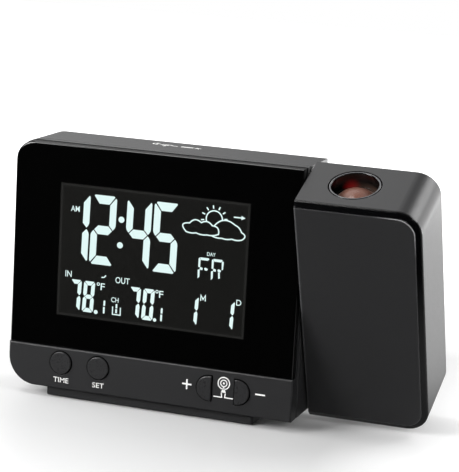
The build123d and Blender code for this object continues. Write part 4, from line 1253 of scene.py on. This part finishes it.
@dataclass
class Readout(SubAssembly):
    """The gloss panel, what is lit in its window, and the display module behind it."""

    finishes: ClassVar = {
        PANEL_ACRYLIC: ("display_panel",),
        DISPLAY_GLASS: ("lcd_module",),
        DIFFUSER_ACRYLIC: ("backlight",),
    }
    time_style: DigitStyle = DigitStyle(10.2, 27.1, 2.8, 3.5, gap=0.14)
    small_style: DigitStyle = DigitStyle(4.6, 12.2, 1.5, 1.65, 0.05)
    date_style: DigitStyle = DigitStyle(5.2, 11.2, 1.35, 1.6, 0.05)
    time_foot: float = 54.95
    small_foot: float = 35.85
    date_foot: float = 36.35
    letter_foot: float = 54.5
    colon: Line = ((-13.2, 73.4), (-13.4, 63.5))
    colon_radius: float = 1.2
    decimal_points: tuple[tuple[Point, float], ...] = (((-22.2, 36.35), 0.8), ((2.05, 36.35), 0.68))
    label_weight: float = 0.006
    labels: tuple[tuple[str, Point, Point], ...] = (
        ("AM", (-34.1, 74.5), (-30.5, 76.7)),
        ("IN", (-35.4, 48.8), (-32.8, 51.2)),
        ("OUT", (-14.6, 48.7), (-8.8, 51.1)),
        ("F", (-20.6, 45.2), (-18.9, 47.9)),
        ("F", (3.4, 45.2), (5.1, 47.9)),
        ("CH", (-16.0, 41.1), (-13.0, 43.0)),
        ("D", (34.3, 46.1), (36.3, 48.3)),
        ("DAY", (21.8, 63.6), (25.2, 65.0)),
    )
    month_letter: Line = ((20.2, 46.1), (20.2, 48.3), (21.1, 46.7), (22.0, 48.3), (22.0, 46.1))
    degrees: Line = ((-21.6, 47.4), (2.5, 47.4))
    degree_radius: float = 0.5
    degree_stroke: float = 0.32
    channel: tuple[Line, Line] = (
        ((-14.15, 36.95), (-13.45, 38.5)),
        ((-14.1, 38.85), (-13.4, 40.5)),
    )
    tray: Line = ((-15.3, 39.4), (-15.3, 36.35), (-12.1, 36.35), (-12.1, 39.3))
    thin_stroke: float = 0.42
    trend: Line = ((-20.4, 50.15), (-19.3, 50.3), (-18.6, 51.1))
    trend_stroke: float = 0.45
    icon_stroke: float = 0.5
    sun: Point = (23.95, 77.75)
    sun_radius: float = 3.2
    sun_turns: Point = (-2, 200)
    ray_reach: Point = (4.0, 5.25)
    ray_turns: tuple[float, ...] = tuple(5 + 30.5 * i for i in range(7))
    near_cloud: tuple[tuple[Point, float], ...] = (
        ((14.3, 75.3), 0.25),
        ((18.9, 75.9), 0.22),
        ((23.3, 75.2), 0.3),
        ((25.9, 72.2), 0.08),
        ((21.4, 71.5), 0.07),
        ((17.0, 71.8), 0.07),
        ((13.0, 71.9), 0.6),
    )
    far_cloud: tuple[tuple[Point, float], ...] = (
        ((24.0, 75.2), 0.24),
        ((32.3, 76.4), 0.12),
        ((34.9, 73.9), 0.45),
        ((35.2, 71.1), 0.08),
        ((31.2, 71.0), 0.07),
        ((27.2, 70.9), 0.07),
        ((23.2, 71.4), 0.0),
    )
    arrow: Line = ((31.6, 79.4), (34.8, 79.4))
    arrow_head: Line = ((34.6, 80.2), (34.6, 78.6), (36.2, 79.4))

    def draw(self) -> None:
        """Light the display."""
        self.light_time()
        self.light_temperatures()
        self.light_date()
        self.light_weekday()
        self.light_labels()
        self.light_weather()

    def light(self, art: FlatArt, name: str) -> None:
        """Make a drawing into a lit piece in the window."""
        self.put(art, name, DISPLAY, DISPLAY_LIGHT)

    def light_time(self) -> None:
        """Light the four large digits and the colon."""
        art = FlatArt()
        for digit, x in (("1", -36.5), ("2", -25.65), ("4", -11.3), ("5", -0.3)):
            self.time_style.draw(art, digit, (x, self.time_foot))
        for dot in self.colon:
            art.disc(dot, self.colon_radius)
        self.light(art, "time_digits")

    def light_temperatures(self) -> None:
        """Light the indoor and outdoor temperatures, each with a small decimal."""
        art = FlatArt()
        for digit, x in (("7", -33.3), ("8", -27.75), ("7", -8.85), ("0", -3.2)):
            self.small_style.draw(art, digit, (x, self.small_foot))
        for dot, radius in self.decimal_points:
            art.disc(dot, radius)
        for right in (-18.45, 5.1):
            for bar in DECIMAL_BARS:
                art.polygon((right + x, z) for x, z in bar)
        self.light(art, "temperature_digits")

    def light_date(self) -> None:
        """Light the month and the day."""
        art = FlatArt()
        for x in (14.0, 28.35):
            self.date_style.draw(art, "1", (x, self.date_foot))
        self.light(art, "date_digits")

    def light_weekday(self) -> None:
        """Light the weekday's two letters, each in separate bars."""
        art = FlatArt()
        for letter, left in (("F", 18.35), ("R", 23.65)):
            for name in LETTER_BARS[letter]:
                bar = BAR_SHAPES[name]
                art.polygon((left + x, self.letter_foot + z) for x, z in bar)
        self.light(art, "weekday_letters")

    def light_labels(self) -> None:
        """Light the unit letters and the small signs beside the digits."""
        art = FlatArt()
        for text, low, high in self.labels:
            art.words(text, low, high, self.label_weight)
        art.stroke(self.month_letter, self.thin_stroke)
        for middle in self.degrees:
            art.arc(middle, self.degree_radius, self.degree_stroke)
        for bar in self.channel:
            art.bar(*bar)
        art.stroke(self.tray, self.thin_stroke)
        art.stroke(self.trend, self.trend_stroke)
        self.light(art, "display_labels")

    def light_weather(self) -> None:
        """Light a sun behind two clouds, and the arrow of the trend."""
        art = FlatArt()
        art.arc(self.sun, self.sun_radius, self.icon_stroke, *self.sun_turns)
        art.rays(self.sun, self.ray_reach, self.icon_stroke, self.ray_turns)
        art.stroke(lobes(self.near_cloud, closed=True), self.icon_stroke, closed=True)
        art.stroke(lobes(self.far_cloud), self.icon_stroke)
        art.stroke(self.arrow, self.icon_stroke)
        art.polygon(self.arrow_head)
        self.light(art, "weather_icon")


@dataclass
class KeyStrip(SubAssembly):
    """The keys below the display, their printing, and the boards and switches behind them."""

    finishes: ClassVar = {
        KEY_ABS: ("time_button", "set_button", "plus_button", "minus_button"),
        GREEN_BOARD: ("main_board",),
        SWITCH_NYLON: ("key_switches",),
        CHIP_EPOXY: ("control_chip",),
    }
    legends: tuple[tuple[str, Point, Point], ...] = (
        ("TIME", (-38.8, 6.5), (-32.5, 8.5)),
        ("SET", (-22.4, 6.5), (-17.6, 8.5)),
    )
    sign_stroke: float = 0.62
    plus: Point = (16.3, 13.2)
    plus_across: Point = (14.4, 18.2)
    plus_up: Point = (11.2, 15.1)
    minus_height: float = 13.1
    minus_across: Point = (43.7, 47.6)
    mast: Point = (31.1, 15.5)
    ring_radii: Point = (2.3, 1.25)
    dot_radius: float = 0.42
    mast_stroke: float = 0.42
    mast_body: Line = ((-0.15, -1.25), (0.15, -1.25), (1.0, -3.65), (-1.0, -3.65))  # from its head
    mast_leg: Line = ((0.8, -3.8), (0.6, -5.5), (3.9, -5.5))

    def draw(self) -> None:
        """Print the words, the signs and the mast."""
        self.print_legends()
        self.print_mast()

    def print_legends(self) -> None:
        """Print the words below the round keys and the signs beside the half keys."""
        art = FlatArt()
        for legend in self.legends:
            art.words(*legend)
        half, (x, z) = self.sign_stroke / 2, self.plus
        (left, right), (foot, top) = self.plus_across, self.plus_up
        art.bar((left, z - half), (right, z + half))
        art.bar((x - half, foot), (x + half, z - half))
        art.bar((x - half, z + half), (x + half, top))
        left, right = self.minus_across
        art.bar((left, self.minus_height - half), (right, self.minus_height + half))
        self.put(art, "key_legends", FRONT, WHITE_INK)

    def print_mast(self) -> None:
        """Print a radio mast: rings round its head, a tapered body and two feet."""
        art = FlatArt()
        x, z = self.mast
        for radius in self.ring_radii:
            art.arc(self.mast, radius, self.mast_stroke)
        art.disc(self.mast, self.dot_radius)
        art.polygon((x + side, z + rise) for side, rise in self.mast_body)
        for way in (-1, 1):
            leg = [(x + way * side, z + rise) for side, rise in self.mast_leg]
            art.stroke(leg, self.mast_stroke)
        self.put(art, "radio_mast_mark", FRONT, WHITE_INK)


@dataclass
class RadioSet(SubAssembly):
    """The receiver for the outdoor sensor and the rod antenna for the time signal."""

    finishes: ClassVar = {
        TINNED_STEEL: ("radio_receiver",),
        ANTENNA_ROD: ("time_antenna",),
        BUSH_ACETAL: ("antenna_clips",),
    }


@dataclass
class PowerBay(SubAssembly):
    """The battery compartment, the supply socket and the sounder, all on the back."""

    finishes: ClassVar = {
        HOUSING_ABS: ("battery_lid",),
        CELL_SLEEVE: ("battery_cells",),
        NICKEL_STRIP: ("battery_contacts",),
        SOUNDER_PBT: ("sounder", "supply_socket"),
    }
    rise: float = 4.5  # above the socket
    stroke: float = 0.4
    half_line: float = 0.15
    dot_radius: float = 0.55
    cup_radius: float = 1.5
    cup_turns: Point = (225, 495)
    end_reach: float = 4.4
    end_radius: float = 1.2
    sign_reach: float = 0.6
    lines: Line = ((0.5, 3.2), (-3.2, -1.6))  # from the dot to the plus, from the minus to the cup

    def draw(self) -> None:
        """Print the usual sign for a socket that is positive inside, above the socket."""
        low, high = in_millimetres("supply_socket")
        x, z = middle = (-(low.x + high.x) / 2, high.z + self.rise)
        half, sign = self.half_line, self.sign_reach
        art = FlatArt()
        art.disc(middle, self.dot_radius)
        art.arc(middle, self.cup_radius, self.stroke, *self.cup_turns)
        for way in (-1, 1):
            end = x + way * self.end_reach
            art.arc((end, z), self.end_radius, self.stroke)
            art.bar((end - sign, z - half), (end + sign, z + half))
        for foot, top in ((half, sign), (-sign, -half)):
            art.bar((end - half, z + foot), (end + half, z + top))
        for left, right in self.lines:
            art.bar((x + left, z - half), (x + right, z + half))
        self.put(art, "polarity_sign", BACK, GREY_INK)


@dataclass
class PivotJoint(SubAssembly):
    """The hollow shaft that carries the arm, and what holds it in the case."""

    finishes: ClassVar = {
        BUSH_ACETAL: ("pivot_bush",),
        SHAFT_NYLON: ("pivot_shaft",),
        SPRING_STEEL: ("friction_washer", "retaining_ring"),
    }


@dataclass
class ProjectorArm(SubAssembly):
    """The tilting arm with its lens, its optics and its controls."""

    finishes: ClassVar = {
        HOUSING_ABS: ("arm_shell",),
        COVER_ABS: ("arm_cover",),
        ZINC_STEEL: ("arm_screws",),
        KEY_ABS: ("flip_button", "focus_knob"),
        BEZEL_ABS: ("lens_bezel",),
        OPTICS_ABS: ("optics_housing",),
        BARREL_ABS: ("lens_barrel",),
        LENS_ACRYLIC: ("projection_lens",),
        CONDENSER_ACRYLIC: ("condenser_lens",),
        DISPLAY_GLASS: ("projection_slide",),
        WHITE_BOARD: ("led_module",),
        GREEN_BOARD: ("drive_board",),
        SINK_ALUMINIUM: ("heat_sink",),
    }
    sign_radius: float = 8.4
    sign_stroke: float = 0.45
    sign_turns: Point = (55, 125)
    heads: Line = ((52, -1), (128, 1))  # the turn of each arrow's foot, and which way it points
    head_length: float = 1.3
    head_half: float = 0.9

    def back(self) -> Sheet:
        """Return the arm's back face, where it stands at rest."""
        turn = Matrix.Rotation(ARM_LEAN, 3, "X")
        foot = turn @ (Vector((0, CASE_HIGH.y, 0)) - ARM_PIVOT) + ARM_PIVOT
        return Sheet(tuple(foot), (-1, 0, 0), tuple(ARM_UP))

    def draw(self) -> None:
        """Print a double-headed arc round the upper side of the focus knob."""
        knob = stood_upright(Vector(JOINTS["focus_turn"]["pos_m"]) / MM)
        middle = Vector((-knob.x, knob.z))
        art = FlatArt()
        art.arc(middle, self.sign_radius, self.sign_stroke, *self.sign_turns)
        for turn, way in self.heads:
            out = Vector((cos(radians(turn)), sin(radians(turn))))
            tip = middle + out * self.sign_radius
            ahead = Vector((-out.y, out.x)) * (way * self.head_length)
            art.polygon((tip + ahead, tip + out * self.head_half, tip - out * self.head_half))
        self.put(art, "focus_sign", self.back(), GREY_INK, Body.PROJECTOR)


# ---------------------------------------------------------------- studio
@dataclass(frozen=True)
class Softbox:
    """One flat lamp: where it hangs, the point that it faces, its sides and its power in watts."""

    name: str
    place: Place
    target: Place
    sides: Point
    watts: float

    def hang(self) -> None:
        """Hang the lamp."""
        data = bpy.data.lights.new(self.name, "AREA")
        data.shape, data.size, data.size_y = "RECTANGLE", *self.sides
        data.energy = self.watts
        lamp = bpy.data.objects.new(self.name, data)
        bpy.context.scene.collection.objects.link(lamp)
        lamp.location = self.place
        lamp.rotation_mode = "QUATERNION"
        facing = Vector(self.target) - Vector(self.place)
        lamp.rotation_quaternion = facing.to_track_quat("-Z", "Y")
        lamp.visible_camera = False


@dataclass
class Studio:
    """A pale table, a white surround that is dark in front of the clock, and soft lamps."""

    table_reach: float = 1.6
    table_colour: str = "#e8e8e8"
    table_roughness: float = 0.35
    clear_reach: float = 0.13  # round the clock, where the table keeps its shadow
    white_reach: float = 0.35  # from here on the table is as white as the surround
    mirror_dark: float = -0.02  # the table mirrors as dark in front of this depth
    mirror_pale: float = 0.25  # and as white behind this one
    mirror_left: Point = (-0.12, -0.2)  # it mirrors as bright as left_light to the left of this
    left_light: float = 6.0
    mirror_right: Point = (0.09, 0.14)  # and as side_light to the right of this
    mirror_back: Point = (-0.05, 0.09)  # and behind this
    side_light: float = 1.65
    lift_right: Point = (0.075, 0.12)  # where the table is painted brighter to the right, a painted pool of light
    lift_front: Point = (-0.045, -0.11)  # and to the front
    lift: Point = (0.38, 0.12)  # by how much, to the right and to the front
    room: float = 0.4  # the surround's light on matt surfaces
    # Its rear to glossy surfaces: direction to the side, and light
    behind: tuple[Point, ...] = ((-0.45, 0.63), (-0.15, 0.3), (0.1, 0.3), (0.3, 0.65))
    rear_edge: Point = (-0.1, 0.25)  # directions in depth where its rear starts and is full
    above: float = 0.2
    roof_edge: Point = (0.25, 0.7)  # heights of direction where its roof starts and is full
    softboxes: tuple[Softbox, ...] = (
        Softbox("overhead_softbox", (-0.48, 0.50, 0.85), (0, 0, 0.08), (0.9, 0.9), 1.7),
        Softbox("top_softbox", (-0.32, -0.15, 0.98), (0, 0, 0.08), (0.3, 0.3), 2.5),
        Softbox("key_softbox", (-0.55, -0.60, 0.42), (-0.02, 0, 0.04), (0.4, 0.4), 7.0),
        Softbox("left_softbox", (-0.75, 0.08, 0.42), (-0.05, 0, 0.07), (0.4, 0.4), 1.5),
        Softbox("edge_softbox", (0.69, -0.25, 0.48), (0.09, 0, 0.08), (0.25, 0.25), 1.0),
        Softbox("side_strip", (0.28, 0.45, 0.13), (0.09, 0, 0.06), (0.45, 0.26), 0.66),
        Softbox("corner_softbox", (0.55, 0.55, 0.60), (0.09, 0, 0.09), (0.4, 0.4), 2.3),
    )

    def build(self) -> None:
        """Build the table, the surround and the lamps."""
        self.lay_table()
        self.light_surround()
        for softbox in self.softboxes:
            softbox.hang()

    def lay_table(self) -> None:
        """Lay the table's top, white to a mirror behind the clock and dark in front of it."""
        data = bpy.data.meshes.new("table_top")
        far = self.table_reach
        corners = [(-far, -far, 0), (far, -far, 0), (far, far, 0), (-far, far, 0)]
        data.from_pydata(corners, [], [(0, 1, 2, 3)])
        table = bpy.data.objects.new("table_top", data)
        bpy.context.scene.collection.objects.link(table)
        bench = Bench("Matt white laminate")
        x, y, _ = bench.axes(bench.place)
        # Painted light: to the camera the table brightens to the right and to the front
        right = bench.product(bench.ramp(x, *self.lift_right), self.lift[0])
        front = bench.product(bench.ramp(y, *self.lift_front), self.lift[1])
        reach = bench.measure("LENGTH", bench.place)
        white = bench.ramp(reach, self.clear_reach, self.white_reach)
        shown = bench.largest(bench.largest(right, front), white)
        on_right = bench.product(bench.ramp(x, *self.mirror_right), self.side_light)
        on_left = bench.product(bench.ramp(x, *self.mirror_left), self.left_light)
        lit = bench.product(bench.largest(on_right, on_left), bench.ramp(y, *self.mirror_back))
        pale = bench.ramp(y, self.mirror_dark, self.mirror_pale)
        mirror = bench.add("Emission", {"Strength": bench.largest(lit, pale)})
        camera, mirrored = self.rays(bench)
        bench.set(
            Base_Color=self.table_colour,
            Roughness=self.table_roughness,
            Emission_Color="#ffffff",
            Emission_Strength=bench.product(shown, camera),
        )
        layers = {0: mirrored, 1: bench.shader.outputs[0], 2: mirror.outputs[0]}
        face = bench.add("MixShader", layers).outputs[0]
        bench.give(bench.find("OUTPUT_MATERIAL").inputs["Surface"], face)
        data.materials.append(bench.material)

    def rays(self, wiring: Wiring) -> tuple[Socket, Socket]:
        """Tell rays apart by what they are for.

        Args:
            wiring: the tree that asks.

        Returns:
            1 for the camera's own rays, and 1 for rays in a gloss or through glass.
        """
        path = wiring.add("LightPath").outputs
        mirrored = wiring.largest(path["Is Glossy Ray"], path["Is Transmission Ray"])
        return path["Is Camera Ray"], mirrored

    def light_surround(self) -> None:
        """Make the surround white to the camera, even to matt surfaces, graded to glossy ones."""
        world = bpy.data.worlds.new("studio_surround")
        bpy.context.scene.world = world
        world.use_nodes = True
        wiring = Wiring(world.node_tree)
        x, y, z = wiring.axes(wiring.add("TexCoord").outputs["Generated"])
        across = wiring.add("ValToRGB", {0: wiring.ramp(x, -1.0, 1.0)})
        ramp = across.color_ramp
        ramp.interpolation = "EASE"
        for stop, (side, light) in zip(ramp.elements, (self.behind[0], self.behind[-1])):
            stop.position, stop.color = (side + 1) / 2, (light,) * 3 + (1,)
        for side, light in self.behind[1:-1]:
            ramp.elements.new((side + 1) / 2).color = (light,) * 3 + (1,)
        rear = wiring.product(across.outputs[0], wiring.ramp(y, *self.rear_edge))
        roof = wiring.product(wiring.ramp(z, *self.roof_edge), self.above)
        camera, mirrored = self.rays(wiring)
        backdrop = wiring.number(mirrored, self.room, wiring.largest(rear, roof))
        background = wiring.find("BACKGROUND")
        wiring.give(background.inputs["Color"], "#ffffff")
        wiring.give(background.inputs["Strength"], wiring.number(camera, backdrop, 1.0))


@dataclass
class StudioCamera:
    """The camera, by where it aims, where it stands round the clock, and how it rolls."""

    aim: Place = (0.018107, 0.005, 0.079527)
    azimuth: float = 19.1
    elevation: float = 10.367
    roll: float = 2.944
    distance: float = 0.773765
    lens: float = 154.344
    shift: Point = (0.0248, -0.0664)
    sensor: float = 36.0  # mm
    clip: Point = (0.01, 20.0)

    def build(self) -> None:
        """Stand the camera and make it the scene's own."""
        data = bpy.data.cameras.new("studio_camera")
        data.lens, data.sensor_width = self.lens, self.sensor
        data.shift_x, data.shift_y = self.shift
        data.clip_start, data.clip_end = self.clip
        camera = bpy.data.objects.new("studio_camera", data)
        bpy.context.scene.collection.objects.link(camera)
        turn, rise, roll = (radians(a) for a in (self.azimuth, self.elevation, self.roll))
        back = Vector((sin(turn) * cos(rise), -cos(turn) * cos(rise), sin(rise)))
        level = Vector((cos(turn), sin(turn), 0))
        over = back.cross(level)
        right = cos(roll) * level + sin(roll) * over
        up = cos(roll) * over - sin(roll) * level
        pose = Matrix((right, up, back)).transposed().to_4x4()
        pose.translation = Vector(self.aim) + back * self.distance
        camera.matrix_world = pose
        bpy.context.scene.camera = camera
        bpy.context.scene.view_settings.view_transform = "Standard"


def write_sizes() -> None:
    """Update the view layer, so that every transform is current."""
    bpy.context.view_layer.update()


def main() -> None:
    """Build the clock's sub-assemblies, then the studio round it."""
    logging.basicConfig(level=logging.INFO, format="%(name)s: %(message)s")
    for kind in (Casing, Readout, KeyStrip, RadioSet, PowerBay, PivotJoint, ProjectorArm):
        assembly = kind()
        assembly.build()
        for piece in assembly.made:
            log.info("%s: %s", kind.__name__, piece)
    Studio().build()
    StudioCamera().build()
    write_sizes()


if __name__ == "__main__":
    main()
